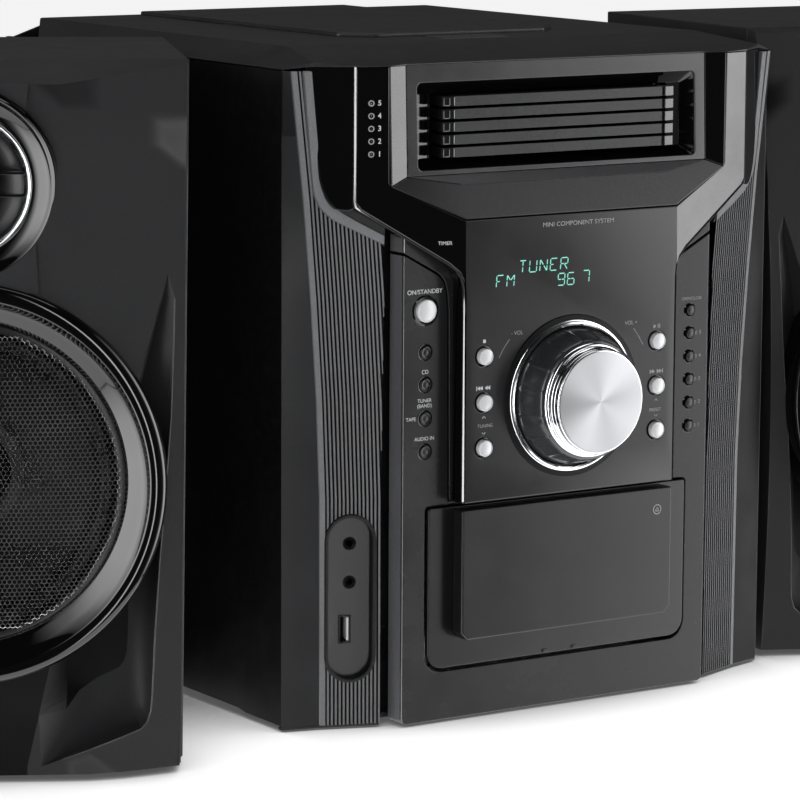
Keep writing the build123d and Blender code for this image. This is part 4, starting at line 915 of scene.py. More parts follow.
# ---------------------------------------------------------------- cassette door
o = plate("door_leaf", [rounded([(-76.3, 30.2), (76.3, 30.2), (76.3, 108.6), (-76.3, 108.6)], [8.5, 8.5, 1.6, 1.6], 8)], 3.0, M["leaf"], "cassette_door_body", "door", flat(-1.3), bevel=0.7, segs=3)
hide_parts("cassette_door")
plate("door_panel", [rounded([(62.4, 107.6), (-62.4, 107.6), (-62.4, 47.9), (-58.9, 44.2), (58.9, 44.2), (62.4, 47.9)], [1.2, 1.2, 1.6, 1.6, 1.6, 1.6], 4)], 8.3, M["plate"], "cassette_door_body", "door", flat(-9.6), bevel=1.1, segs=4)
for i, xx in enumerate((-7.6, 9.8)):
    slab(f"door_notch_{i + 1}", [(xx - 1.6, -1.9), (xx + 1.6, -1.9), (xx + 1.6, -1.0), (xx - 1.6, -1.0)], 31.0, 32.6, M["cavity"], "cassette_door_body", "door", bevel=0.2, segs=2)
ring = circle(53.2, 97, 2.5, 32)
plate("push_mark", [ring, circle(53.2, 97, 2.05, 32)], 0.1, M["label_dim"], "cassette_door_body", "door", flat(-9.68), bevel=0.0)
strokes("push_triangle", [((52.1, 96.2), (54.3, 96.2)), ((52.1, 96.2), (53.2, 98.1)), ((54.3, 96.2), (53.2, 98.1))], 0.35, M["label_dim"], "cassette_door_body", "door", flat(-9.6), lift=0.08)

# ---------------------------------------------------------------- volume knob
o = lathe("knob_surround", [(39.4, -9.4), (39.4, -10.3), (39.0, -10.8), (36.6, -10.95), (36.2, -11.2), (35.9, -12.3), (35.2, -12.6), (34.4, -12.3), (34.3, -9.0)], (0, KZ), [M["flank"], M["chrome"]], MAIN, "knob_ring", n=128,
          fmat=[0, 0, 0, 1, 1, 1, 1, 0])
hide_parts("knob_ring")
lathe("knob_well", [(36.3, -9.8), (34.3, -9.2), (10, -8.6)], (0, KZ), M["cavity"], MAIN, "knob_ring", n=96)


def skirt_ridge(t, j):
    if j < 3 or j > 8:
        return 0.0
    a = (math.degrees(t) % 22.5) - 11.25
    return 0.45 * math.exp(-(a / 1.1) ** 2)


o = lathe("knob_body", [(10, -9.6), (33.0, -10.4), (33.5, -11.2), (33.3, -12.0), (32.4, -15.5), (31.2, -19.5), (30.0, -23.2), (29.2, -25.6), (28.7, -26.4), (28.1, -26.8), (27.4, -27.2)], (0, KZ), M["skirt"], "volume_knob_body", "knob_skirt", n=256, ridges=skirt_ridge, sharp=60)
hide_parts("volume_knob")
lathe("knob_bevel", [(27.6, -27.0), (27.2, -27.9), (26.3, -28.2), (26.1, -28.9), (26.3, -29.6), (26.1, -30.4), (25.2, -30.9), (24.9, -31.2), (24.9, -32.6), (25.1, -33.6), (24.8, -34.1), (24.4, -34.2)], (0, KZ), M["chrome"], "volume_knob_body", "knob_skirt", n=160, sharp=50)
lathe("knob_cap", [(24.5, -34.1), (24.2, -34.28), (23.8, -34.3), (0.02, -34.3)], (0, KZ), M["spun"], "volume_knob_body", "knob_skirt", n=160)


# ---------------------------------------------------------------- push buttons
def button(name, x, z, r, y_back, y_rim, y_top, mat, slot, node, collar=None, dome=0.35):
    prof = [(r * 0.55, y_back), (r, y_back - 0.2), (r, y_rim), (r - 0.15, y_rim - 0.25), (r - 0.55, y_rim - 0.35), (r - 0.8, y_rim - 0.15), (r * 0.72, y_top + dome * 0.5), (r * 0.4, y_top + dome * 0.12), (0.02, y_top)]
    o = lathe(name, prof, (x, z), mat, node + "_body", slot, n=48, sharp=50)
    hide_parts(node)
    return o


for nm, z, node in (("a", 181.0, "stop_button"), ("b", 158.9, "skip_back_button"), ("c", 137.1, "tuning_button")):
    button(f"bright_cap_left_{nm}", -51, z, 3.95, -2.0, -11.9, -12.3, M["cap"], "silver_cap", node)
for nm, z, node in (("a", 181.0, "play_button"), ("b", 158.9, "skip_forward_button"), ("c", 137.1, "preset_button")):
    button(f"bright_cap_right_{nm}", 51, z, 3.95, -2.0, -11.9, -12.3, M["cap"], "silver_cap", node)
for s in (-1, 1):
    for i, z in enumerate((181.0, 158.9, 137.1)):
        lathe(f"cap_well_{'l' if s < 0 else 'r'}{i}", [(4.9, -10.05), (4.5, -10.15), (4.35, -9.6), (4.35, -1.2)], (s * 51, z), M["gloss"], MAIN, "front_gloss", n=40)
button("standby_cap", -78, 203.6, 5.4, 4.0, -1.5, -2.1, M["cap"], "silver_cap", "standby_button", dome=0.5)
lathe("standby_well", [(7.4, -0.05), (6.6, -0.55), (6.0, -0.5), (5.85, 0.4), (5.8, 8)], (-78, 203.6), M["gloss"], MAIN, "front_satin", n=48)
for z, node in ((183.7, "wireless_button"), (168.3, "disc_button"), (152.1, "tuner_button"), (136.2, "input_button")):
    button(node + "_cap", -78, z, 3.25, 4.0, -0.6, -0.8, M["cavity"], "black_cap", node, dome=0.3)
    lathe(node + "_well", [(4.15, -0.04), (3.95, -0.28), (3.7, -0.25), (3.6, 0.5), (3.6, 8)], (-78, z), M["gloss"], MAIN, "front_satin", n=40)
for z, node in ((192.9, "open_close_button"), (181.5, "disc_five_button"), (169.9, "disc_four_button"), (158.4, "disc_three_button"), (146.8, "disc_two_button"), (135.2, "disc_one_button")):
    button(node + "_cap", 78.6, z, 2.55, 4.0, -0.9, -1.2, M["cavity"], "black_cap", node, dome=0.3)
    lathe(node + "_well", [(3.6, -0.05), (3.2, -0.3), (2.85, 0.2), (2.8, 8)], (78.6, z), M["gloss"], MAIN, "front_satin", n=36)

# ---------------------------------------------------------------- display and lettering
Y0 = flat(0.0)
YP = flat(-10.0)
GL = {
    "T": [((0, 1), (1, 1)), ((.5, 1), (.5, .5)), ((.5, .5), (.5, 0))],
    "U": [((0, 1), (0, .5)), ((0, .5), (0, 0)), ((0, 0), (1, 0)), ((1, 0), (1, .5)), ((1, .5), (1, 1))],
    "N": [((0, 0), (0, .5)), ((0, .5), (0, 1)), ((0, 1), (.5, .5)), ((.5, .5), (1, 0)), ((1, 0), (1, .5)), ((1, .5), (1, 1))],
    "E": [((0, 0), (0, .5)), ((0, .5), (0, 1)), ((0, 1), (1, 1)), ((0, .5), (.5, .5)), ((0, 0), (1, 0))],
    "R": [((0, 0), (0, .5)), ((0, .5), (0, 1)), ((0, 1), (1, 1)), ((1, 1), (1, .5)), ((0, .5), (.5, .5)), ((.5, .5), (1, .5)), ((.5, .5), (1, 0))],
    "F": [((0, 0), (0, .5)), ((0, .5), (0, 1)), ((0, 1), (1, 1)), ((0, .5), (.5, .5))],
    "M": [((0, 0), (0, .5)), ((0, .5), (0, 1)), ((0, 1), (.5, .5)), ((.5, .5), (1, 1)), ((1, 1), (1, .5)), ((1, .5), (1, 0))],
    "9": [((0, 0), (1, 0)), ((1, 0), (1, .5)), ((1, .5), (1, 1)), ((0, 1), (1, 1)), ((0, 1), (0, .5)), ((0, .5), (.5, .5)), ((.5, .5), (1, .5))],
    "6": [((0, 0), (1, 0)), ((1, 0), (1, .5)), ((0, 1), (1, 1)), ((0, 0), (0, .5)), ((0, 1), (0, .5)), ((0, .5), (.5, .5)), ((.5, .5), (1, .5))],
    "7": [((0, 1), (1, 1)), ((1, 1), (1, .5)), ((1, .5), (1, 0))],
}


def glyphs(name, s, x, z, w, h, gap, width=0.5, slant=0.08):
    segs = []
    for ch in s:
        if ch != " ":
            for (a, b), (c, d) in GL[ch]:
                m = 0.07
                dx, dz = c - a, d - b
                L = math.hypot(dx * w, dz * h)
                ax, az = a + dx * m, b + dz * m
                bx, bz2 = c - dx * m, d - dz * m
                segs.append(((x + ax * w + az * h * slant, z + az * h), (x + bx * w + bz2 * h * slant, z + bz2 * h)))
        x += w + gap
    return strokes(name, segs, width, M["display"], MAIN, "display", YP, lift=0.05)


glyphs("display_upper", "TUNER", -31.6, 219.6, 4.1, 5.7, 1.95)
glyphs("display_lower_left", "FM", -44.6, 213.4, 4.1, 5.7, 1.95)
glyphs("display_lower_right", "96", -8.9, 212.1, 3.9, 5.7, 1.7)
glyphs("display_lower_last", "7", 5.6, 212.6, 3.9, 5.7, 1.7)

text("label_standby", "ON/STANDBY", -78.4, 212.6, 3.0, M["label"], MAIN, "front_satin", Y0, squeeze=1.05)
text("label_cd", "CD", -78.0, 174.3, 2.7, M["label"], MAIN, "front_satin", Y0)
text("label_tuner", "TUNER\n(BAND)", -78.2, 159.4, 2.5, M["label"], MAIN, "front_satin", Y0)
text("label_tape", "TAPE", -85.9, 152.2, 2.5, M["label"], MAIN, "front_satin", Y0, align="CENTER")
text("label_audio", "AUDIO IN", -78.2, 142.4, 2.5, M["label"], MAIN, "front_satin", Y0)
text("label_timer", "TIMER", -72.0, 235.9, 2.5, M["label"], MAIN, "front_gloss", facet_y)
text("label_vol_minus", "- VOL", -32.2, 190.9, 2.7, M["label_dim"], MAIN, "front_gloss", YP)
text("label_vol_plus", "VOL +", 35.2, 190.9, 2.7, M["label_dim"], MAIN, "front_gloss", YP)
text("label_tuning", "TUNING", -50.2, 147.6, 2.3, M["label_dim"], MAIN, "front_gloss", YP)
text("label_preset", "PRESET", 50.6, 146.9, 2.3, M["label_dim"], MAIN, "front_gloss", YP)
text("label_system", "MINI COMPONENT SYSTEM", 3.1, 241.6, 3.0, M["label_dim"], MAIN, "front_gloss", YP, squeeze=1.14)
text("label_open", "OPEN/CLOSE", 79.6, 198.6, 2.1, M["label_dim"], MAIN, "front_satin", Y0)
for d, z in zip("54321", (181.5, 169.9, 158.4, 146.8, 135.2)):
    text(f"label_disc_{d}", d, 85.2, z, 2.6, M["label_dim"], MAIN, "front_satin", Y0)
    strokes(f"mark_disc_{d}", [((82.2, z - 0.7), (83.4, z - 0.7)), ((82.2, z - 0.2), (82.8, z + 0.8)), ((83.4, z - 0.2), (82.8, z + 0.8))], 0.25, M["label_dim"], MAIN, "front_satin", Y0)
for d, z in zip("54321", (302.3, 296.4, 290.5, 284.6, 278.6)):
    text(f"tray_number_{d}", d, -103.4, z, 3.4, M["label"], MAIN, "front_gloss", facet_y, weight=0.05)
    plate(f"tray_lamp_{d}", [circle(-107.3, z, 1.45, 24), circle(-107.3, z, 0.95, 20)], 0.1, M["label_dim"], MAIN, "front_gloss", lambda x, zz: facet_y(x) - 0.1, bevel=0.0)
    plate(f"tray_lens_{d}", [circle(-107.3, z, 0.45, 12)], 0.1, M["nickel"], MAIN, "front_gloss", lambda x, zz: facet_y(x) - 0.08, bevel=0.0)
# transport symbols
def tri(x, z, w, h, d):
    return [((x - d * w / 2, z - h / 2), (x - d * w / 2, z + h / 2)), ((x - d * w / 2, z + h / 2), (x + d * w / 2, z)), ((x - d * w / 2, z - h / 2), (x + d * w / 2, z))]


def solid(name, polys, mat, slot="front_gloss", yf=YP):
    verts, faces = [], []
    for pg in polys:
        b = len(verts)
        verts += [(x, yf(x, z) - 0.06, z) for x, z in pg]
        faces.append(tuple(range(b, b + len(pg))))
    return poly(name, verts, faces, mat, MAIN, slot, smooth=False)


def T(x, z, d, w=1.7, h=2.2):
    return [(x - d * w / 2, z - h / 2), (x + d * w / 2, z), (x - d * w / 2, z + h / 2)]


def B(x, z, w=0.42, h=2.2):
    return [(x - w / 2, z - h / 2), (x + w / 2, z - h / 2), (x + w / 2, z + h / 2), (x - w / 2, z + h / 2)]


solid("mark_stop", [B(-51, 188.3, 1.6, 1.6)], M["label"])
solid("mark_back", [B(-55.2, 165.9), T(-54.1, 165.9, -1), T(-52.6, 165.9, -1), T(-49.8, 165.9, -1), T(-48.3, 165.9, -1)], M["label"])
solid("mark_play", [T(49.7, 188.2, 1), B(51.6, 188.2), B(52.6, 188.2)], M["label_dim"])
solid("mark_forward", [T(47.8, 165.9, 1), T(49.3, 165.9, 1), T(52.1, 165.9, 1), T(53.6, 165.9, 1), B(54.8, 165.9)], M["label_dim"])
strokes("mark_tuning", [((-52, 151.3), (-51, 152.3)), ((-51, 152.3), (-50, 151.3)), ((-52, 144.6), (-51, 143.6)), ((-51, 143.6), (-50, 144.6))], 0.28, M["label"], MAIN, "front_gloss", YP)
strokes("mark_preset", [((50, 151.3), (51, 152.3)), ((51, 152.3), (52, 151.3)), ((50, 144.6), (51, 143.6)), ((51, 143.6), (52, 144.6))], 0.28, M["label_dim"], MAIN, "front_gloss", YP)
strokes("mark_volume", [((-42.6, 179.6), (-39.8, 184.2)), ((-39.8, 184.2), (-36.6, 188.2)), ((42.6, 179.6), (39.8, 184.2)), ((39.8, 184.2), (36.6, 188.2))], 0.3, M["label_dim"], MAIN, "front_gloss", YP)


# ---------------------------------------------------------------- speakers
def bow(z):
    return 6.6 * ((z - 150) / 110.0) ** 2 if z > 150 else 5.6 * ((150 - z) / 130.0) ** 2


def ue(z):
    return np.interp(z, [6.5, 16.5, 108.7, 145, 230.8, 322], [96.9, 97.1, 98.3, 98.8, 99.9, 101.6])


def vc(z):
    return 2.5 + bow(z) * 0.62


def ve(z):
    return 13.6 + bow(z)


def mirror_faces(verts, faces):
    k = len(verts)
    vm = verts + [(-u, v, z) for u, v, z in verts]
    fm = faces + [tuple(k + i for i in reversed(f)) for f in faces]
    return vm, fm


TZ = 273.2


def speaker(which):
    to = spk(which)
    body = which + "_speaker"
    # right half of the moulded front; the left half is its mirror image
    verts, F = [], []
    key = {}

    def V(u, z, v):
        q = (round(u, 2), round(z, 2), round(v, 2))
        if q not in key:
            key[q] = len(verts)
            verts.append((u, v, z))
        return key[q]

    def uc(z):
        return float(np.interp(z, [187, 210.4, 222.1, 275.5, 317.4], [62.0, 56.6, 54.0, 47.8, 45.0]))

    def ub(z):
        return float(np.interp(z, [187, 233.2, 248.9, 319.6, 325.2], [78.6, 92.2, 99.8, 101.5, 101.6]))

    def surf(u, z):
        c = uc(z) if z > 187 else 62.0
        v0 = vc(z) + 0.6
        if u <= c:
            return vc(z) + 0.6 * (u / c) ** 2
        return v0 + (u - c) / (float(ue(z)) - c) * (ve(z) - v0)

    def quad(*q):
        q = [x for i, x in enumerate(q) if x != q[i - 1]]
        if len(set(q)) >= 3:
            F.append(tuple(q))
    # upper part
    zl_ = [187, 198, 210.4, 222.1, 233.2, 240, 248.9, 262, 275.5, 290, 305, 317.4]
    rows = []
    for z in zl_:
        c, e = uc(z), ub(z)
        r = []
        for u in (0, 0.35 * c, 0.7 * c, c, c + (e - c) * 0.33, c + (e - c) * 0.66, e):
            zz = z + (max(0.0, u - 45) * 7.8 / 56.6 if z == 317.4 else 0.0)
            r.append(V(u, zz, surf(u, zz)))
        rows.append(r)
    for a in range(len(rows) - 1):
        for b in range(6):
            quad(rows[a][b], rows[a][b + 1], rows[a + 1][b + 1], rows[a + 1][b])
    # scoop: outer line, floor line
    S = [(92.2, 233.2), (95.2, 222), (94.6, 200), (93.3, 168), (90.5, 131.6), (88, 104), (85.7, 67.6), (84.5, 42), (83.8, 34), (82.2, 29), (79.2, 26.0), (70, 22.8), (56, 18.1), (44, 14.0), (34.2, 10.6)]
    FL = [(92.2, 233.2, surf(92.2, 233.2)), (90.2, 221, 17.7), (84.8, 200, 18.6), (79.0, 172, 21.5), (76.2, 133, 26.0), (74.6, 106, 27.5), (73.5, 68, 27.5), (73.0, 58.5, 27.2), (71.8, 54.5, 27), (69.6, 51.6, 26.8), (66.4, 49.9, 26.5), (60, 47.4, 25.5), (51.5, 42, 22), (45.4, 34.4, 17), (34.2, 10.6, surf(34.2, 10.6))]
    N = 8
    grid = []
    for (su, sz), (fu, fz, fv_) in zip(S, FL):
        sv_ = surf(su, sz)
        r = []
        for q in range(N + 1):
            t = q / N * math.pi / 2
            fl_ = float(np.interp(sz, [131.6, 168, 200], [0.0, 0.6, 1.0]))
            k = (1 - math.cos(t)) * (1 - fl_) + q / N * fl_
            d = math.sin(t) * (1 - fl_) + q / N * fl_
            r.append(V(su + (fu - su) * k, sz + (fz - sz) * k, sv_ + (fv_ - sv_) * d))
        grid.append(r)
    for a in range(len(grid) - 1):
        for b in range(N):
            quad(grid[a][b], grid[a][b + 1], grid[a + 1][b + 1], grid[a + 1][b])
    # strip between the scoop and the outer edge
    eo = [V(ub(248.9), 248.9, surf(ub(248.9), 248.9))]
    E = [(float(ue(z)), z) for (su, z) in S[:8]]
    E[0] = (float(ue(236)), 236)
    ev = [V(u, z, ve(z)) for u, z in E]
    quad(rows[4][6], rows[5][6], ev[0])
    quad(rows[5][6], rows[6][6], ev[0])
    for a in range(7):
        quad(grid[a][0], grid[a + 1][0], ev[a + 1], ev[a])
    e5 = V(97.1, 20, ve(20))
    e6 = V(96.6, 6.6, ve(8) + 0.6)
    for a in (7, 8, 9):
        quad(grid[a][0], grid[a + 1][0], ev[7] if a < 9 else e5)
    quad(grid[9][0], e5, ev[7])
    quad(grid[10][0], e6, e5)
    bt = [V(u, 6.6, surf(u, 6.6)) for u in (96.6 - 13, 70, 56, 44, 34.2)]
    bt[0] = V(83, 6.6, surf(83, 6.6))
    quad(grid[10][0], bt[0], e6)
    for a in range(4):
        quad(grid[10 + a][0], grid[11 + a][0], bt[a + 1], bt[a])
    # step between the upper facet and the scoop
    bl = [rows[4][6], V(88.6, 221, surf(88.6, 221)), V(82.6, 200.6, surf(82.6, 200.6)), rows[0][6]]
    quad(rows[4][6], bl[1], grid[1][N])
    for a in (1, 2):
        quad(bl[a], bl[a + 1], grid[a + 1][N], grid[a][N])
    # pocket floor behind the ring, in the near-black matt material: painted shade in the recess
    fl_i = [grid[i][N] for i in range(3, 14)]
    inner = [V(62, 175, 23), V(55, 140, 26.5), V(52, 106, 27.5), V(48, 70, 27.5), V(46.8, 58, 27), V(46.6, 54, 26.5), V(46.4, 50, 26), V(46.2, 47, 25), V(46.0, 43, 23), V(45.8, 39, 20), grid[13][N]]
    pocket0 = len(F)
    for a in range(10):
        quad(fl_i[a], fl_i[a + 1], inner[a + 1], inner[a])
    quad(rows[0][6], grid[3][N], inner[0], rows[0][3])
    pocket1 = len(F)
    # lower centre plate and its side
    kz = [(140, 47.5), (106, 45.5), (70, 41.3), (58, 38.6), (54, 37.7), (50, 36.8), (47, 36.1), (43, 35.2), (39, 34.3), (34.4, 33.3), (10.6, 28.0)]
    kf = [V(u, z, vc(z) + 0.3) for z, u in kz]
    km = [V(0, z, vc(z)) for z, u in kz]
    centre = [len(F)]
    for a in range(len(kz) - 1):
        quad(km[a], km[a + 1], kf[a + 1], kf[a])
    centre.append(len(F))
    for a in range(1, 11):
        quad(kf[a - 1], kf[a], ([inner[0]] + inner)[a + 1] if a < 10 else inner[10], ([inner[0]] + inner)[a])
    quad(kf[9], kf[10], grid[14][0], inner[10])
    kb, kc = V(28.0, 6.6, vc(8) + 0.3), V(0, 6.6, vc(8))
    centre.append(len(F))
    quad(km[10], kc, kb, kf[10])
    centre.append(len(F))
    quad(kf[10], kb, bt[4], grid[14][0])
    # behind the woofer ring, between upper facets and lower plate
    quad(rows[0][0], rows[0][3], inner[0], kf[0])
    quad(rows[0][0], kf[0], km[0])
    # sides, top and back
    ring = [rows[-1][0], rows[-1][3], rows[-1][6], rows[9][6], rows[6][6]] + ev + [e5, e6, bt[0], bt[2], bt[4], kb, kc]
    bk = []
    for i in ring:
        u, v, z = verts[i]
        topz = 326.78 if z > 315 else z
        bk.append(V(min(u + 1.0, 102.3) if u > 90 else u, topz, 36.3))
    for i in range(len(ring) - 1):
        quad(ring[i], ring[i + 1], bk[i + 1], bk[i])
    half = len(F)
    vm, fm = mirror_faces(verts, F)
    me = bpy.data.meshes.new(which + "_front_shell")
    me.from_pydata(vm, [], fm)
    for i in range(half):
        k = 1 if pocket0 <= i < pocket1 else 2 if centre[0] <= i < centre[1] or centre[2] <= i < centre[3] else 0
        me.polygons[i].material_index = k
        me.polygons[half + i].material_index = k
    bm = bmesh.new()
    bm.from_mesh(me)
    bmesh.ops.remove_doubles(bm, verts=bm.verts, dist=2e-3)
    bmesh.ops.dissolve_degenerate(bm, dist=1e-3, edges=bm.edges)
    bmesh.ops.triangulate(bm, faces=bm.faces)
    bmesh.ops.recalc_face_normals(bm, faces=bm.faces)
    # openings behind the woofer ring and the tweeter rim: the net is refined along each circle and cleared inside it
    for cz, r, step in ((140.0, 84.0, 4.5), (TZ, 41.9, 2.2)):
        for turn in range(6):
            es = []
            for e in bm.edges:
                if e.calc_length() <= step:
                    continue
                d = [math.hypot(x.co.x, x.co.z - cz) for x in e.verts]
                mid = (e.verts[0].co + e.verts[1].co) / 2
                dm_ = math.hypot(mid.x, mid.z - cz)
                if min(d + [dm_]) < r + 4 and max(d + [dm_]) > r - 9:
                    es.append(e)
            if not es:
                break
            bmesh.ops.subdivide_edges(bm, edges=es, cuts=1)
            bmesh.ops.triangulate(bm, faces=[f for f in bm.faces if len(f.verts) > 3])
        gone = [f for f in bm.faces if all(math.hypot(x.co.x, x.co.z - cz) < r for x in f.verts)]
        bmesh.ops.delete(bm, geom=gone, context="FACES")
        bmesh.ops.delete(bm, geom=[x for x in bm.verts if not x.link_faces], context="VERTS")
        for x in bm.verts:
            d = math.hypot(x.co.x, x.co.z - cz)
            if 1.0 < d < r:
                x.co.x *= r / d
                x.co.z = cz + (x.co.z - cz) * r / d
    for x in bm.verts:
        x.co = to(tuple(x.co))
    bm.to_mesh(me)
    bm.free()
    sh = finish_mesh(which + "_front_moulding", me, [M["baffle"], M["flank"], M["leaf"]], body, "baffle", sharp=17.0)
    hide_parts(which + "_baffle")

    def soft_edge(name, line, r, mat):
        """rounded edge along a crease of the moulding"""
        vs, fs = [], []
        kk = 8
        for i, q in enumerate(line):
            t = (Vector(line[min(i + 1, len(line) - 1)]) - Vector(line[max(i - 1, 0)])).normalized()
            e1 = t.cross(Vector((0, 1, 0))).normalized()
            e2 = t.cross(e1).normalized()
            for j in range(kk):
                w = 2 * math.pi * j / kk
                vs.append(tuple(Vector(q) + e1 * (r * math.cos(w)) + e2 * (r * math.sin(w))))
        for i in range(len(line) - 1):
            for j in range(kk):
                fs.append((i * kk + j, i * kk + (j + 1) % kk, (i + 1) * kk + (j + 1) % kk, (i + 1) * kk + j))
        fs += [tuple(range(kk)), tuple(range((len(line) - 1) * kk, len(line) * kk))]
        poly(name, vs, fs, mat, body, "baffle", to=to, sharp=60)

    for sd, tag in ((-1, "a"), (1, "b")):
        soft_edge(f"{which}_scoop_edge_{tag}", [(sd * (u - 0.15), surf(u, z) + 0.28, z) for u, z in S[1:14]], 0.4, M["bezel"])
        zz = [8, 20, 40, 70, 100, 130, 160, 190, 215, 236]
        soft_edge(f"{which}_outer_edge_{tag}", [(sd * (float(ue(z)) - 0.1), ve(z) + 0.3, z) for z in zz], 0.4, M["baffle_strip"])

    # cabinet box with softened edges
    hw0, hw1, D = 102.4, 93.0, 184.0
    cv = []
    for z in (6.5, 326.8):
        hw0 = 98.4 if z < 10 else 102.4
        hw1 = 90.0 if z < 10 else 93.0
        cv += [(-hw0, 36.2, z), (hw0, 36.2, z), (hw1, D, z), (-hw1, D, z)]
    cab = poly(which + "_cabinet_box", cv, [(3, 2, 1, 0), (4, 5, 6, 7), (0, 1, 5, 4), (1, 2, 6, 5), (2, 3, 7, 6), (3, 0, 4, 7)], M["cabinet"], body, "cabinet", to=to)
    cut = []
    for shape, cz, depth in (("port", 250, 0.07), ("cup", 90, 0.006)):
        bmc = bmesh.new()
        if shape == "port":
            bmesh.ops.create_cone(bmc, cap_ends=True, segments=64, radius1=0.024, radius2=0.024, depth=2 * depth)
        else:
            bmesh.ops.create_cube(bmc, size=1.0)
            bmesh.ops.scale(bmc, vec=(0.046, 0.030, 2 * depth), verts=bmc.verts)
            bmesh.ops.bevel(bmc, geom=[e for e in bmc.edges if abs((e.verts[0].co - e.verts[1].co).z) > 0.001], offset=0.004, segments=5, affect="EDGES")
        mc = bpy.data.meshes.new("cut")
        bmc.to_mesh(mc)
        bmc.free()
        oc = bpy.data.objects.new("cut", mc)
        bpy.context.scene.collection.objects.link(oc)
        e1 = (to((1, 0, 0)) - to((0, 0, 0))).normalized()
        e3 = (to((0, 1, 0)) - to((0, 0, 0))).normalized()
        e2 = e3.cross(e1)
        rot = Matrix((e1, e2, e3)).transposed().to_4x4()
        oc.matrix_world = Matrix.Translation(to((0, D, cz))) @ rot
        md = cab.modifiers.new("cut", "BOOLEAN")
        md.object = oc
        md.solver = "EXACT"
        cut.append(oc)
    bpy.context.view_layer.update()
    dg = bpy.context.evaluated_depsgraph_get()
    mc2 = bpy.data.meshes.new_from_object(cab.evaluated_get(dg))
    cab.modifiers.clear()
    cab.data = mc2
    for oc in cut:
        bpy.data.objects.remove(oc)
    md = cab.modifiers.new("edge", "BEVEL")
    md.width = 0.0014
    md.segments = 3
    md.limit_method = "ANGLE"
    md.angle_limit = math.radians(40)
    cab.modifiers.new("normals", "WEIGHTED_NORMAL")
    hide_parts(which + "_cabinet")
    # port flare, terminal posts and feet
    lathe(which + "_port_flare", [(31.0, 184.6), (30.6, 185.6), (28.6, 186.0), (26.2, 185.2), (24.4, 182.0), (24.0, 176.0), (24.0, 120.0)], (0, 250), M["gloss"], body, "cabinet", to=to, n=72)
    for s, mt in ((-1, "core"), (1, "cavity")):
        lathe(f"{which}_post_{'a' if s < 0 else 'b'}", [(4.4, 178.4), (4.4, 179.6), (3.4, 180.2), (3.4, 184.2), (2.8, 184.8), (0.05, 184.8)], (s * 10, 90), M[mt], body, "cabinet", to=to, n=32)
    for fu, fv_ in ((-78, 48), (78, 48), (-76, 160), (76, 160)):
        vs, fs = [], []
        kk = 32
        for r, z in ((7.4, 3.02), (8.0, 3.6), (8.0, 6.7)):
            vs += [(fu + r * math.cos(2 * math.pi * i / kk), fv_ + r * math.sin(2 * math.pi * i / kk), z) for i in range(kk)]
        for r in range(2):
            fs += [(r * kk + i, r * kk + (i + 1) % kk, (r + 1) * kk + (i + 1) % kk, (r + 1) * kk + i) for i in range(kk)]
        fs.append(tuple(range(kk)))
        poly(f"{which}_foot_{int(fu)}_{int(fv_)}", vs, fs, M["rubber"], body, "cabinet", to=to)

    # woofer ring, perforated dome and cone
    rg = lathe(which + "_woofer_ring", [(88.0, 24.0), (91.3, 16.0), (91.5, 6.0), (91.0, 3.2), (89.6, 1.6), (87.4, 0.8), (85.0, 0.55), (84.2, 0.65), (83.6, 1.1), (82.8, 2.4), (79.0, 5.0), (75.0, 7.6), (72.6, 9.4), (71.8, 10.4), (71.2, 14.0)],
               (0, 140), M["gloss"], body, "grille", to=to, n=160, sharp=60)
    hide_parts(which + "_woofer_grille")
    p = 2.2
    R0 = 71.6
    verts, faces, key = [], [], {}

    def vid(x, z, sink=0.0):
        kx = (round(x, 3), round(z, 3))
        if kx not in key:
            rr = math.hypot(x, z)
            key[kx] = len(verts)
            verts.append((x, 2.3 + 1.3 * (rr / R0) ** 2 + 6.4 * (rr / R0) ** 7 + sink, 140 + z))
        return key[kx]
    nr = int(R0 / p) + 2
    hexo = [(p / math.sqrt(3) * math.cos(math.radians(30 + 60 * i)), p / math.sqrt(3) * math.sin(math.radians(30 + 60 * i))) for i in range(6)]
    hr = p * 0.43
    hexi = [(hr * math.cos(math.radians(30 + 60 * i)), hr * math.sin(math.radians(30 + 60 * i))) for i in range(6)]
    for j in range(-nr, nr + 1):
        for i in range(-nr, nr + 1):
            x = p * (i + 0.5 * (j % 2))
            z = p * math.sqrt(3) / 2 * j
            if math.hypot(x, z) > R0 - p * 0.55:
                continue
            oi = [vid(x + a, z + b, -0.2) for a, b in hexo]
            ii = [vid(x + a, z + b, 0.25) for a, b in hexi]
            for q in range(6):
                faces.append((oi[q], oi[(q + 1) % 6], ii[(q + 1) % 6], ii[q]))
    sheet = poly(which + "_perforated_sheet", verts, faces, M["mesh"], body, "grille", to=to, sharp=80)
    md = sheet.modifiers.new("thick", "SOLIDIFY")
    md.thickness = 0.0005
    md.offset = -1.0
    lathe(which + "_sheet_edge", [(72.4, 9.8), (71.0, 9.4), (69.4, 9.3), (69.2, 10.2)], (0, 140), M["cavity"], body, "grille", to=to, n=120)
    wf = lathe(which + "_woofer_cone", [(78.0, 24.0), (78.0, 15.2), (72.0, 14.6), (69.0, 14.4), (67.2, 12.6), (64.5, 11.6), (61.8, 12.6), (60.2, 15.0), (59.2, 17.2), (57.0, 18.0), (48.0, 24.0), (36.0, 31.5), (24.0, 38.0), (22.0, 37.0), (18.0, 31.5), (11.0, 27.6), (0.05, 26.2)],
               (0, 140), [M["cone"], M["surround"]], body, "woofer", to=to, n=120, sharp=50, fmat=[0, 0, 0, 1, 1, 1, 1, 1, 0, 0, 0, 0, 0, 1, 1, 1])
    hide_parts(which + "_woofer")

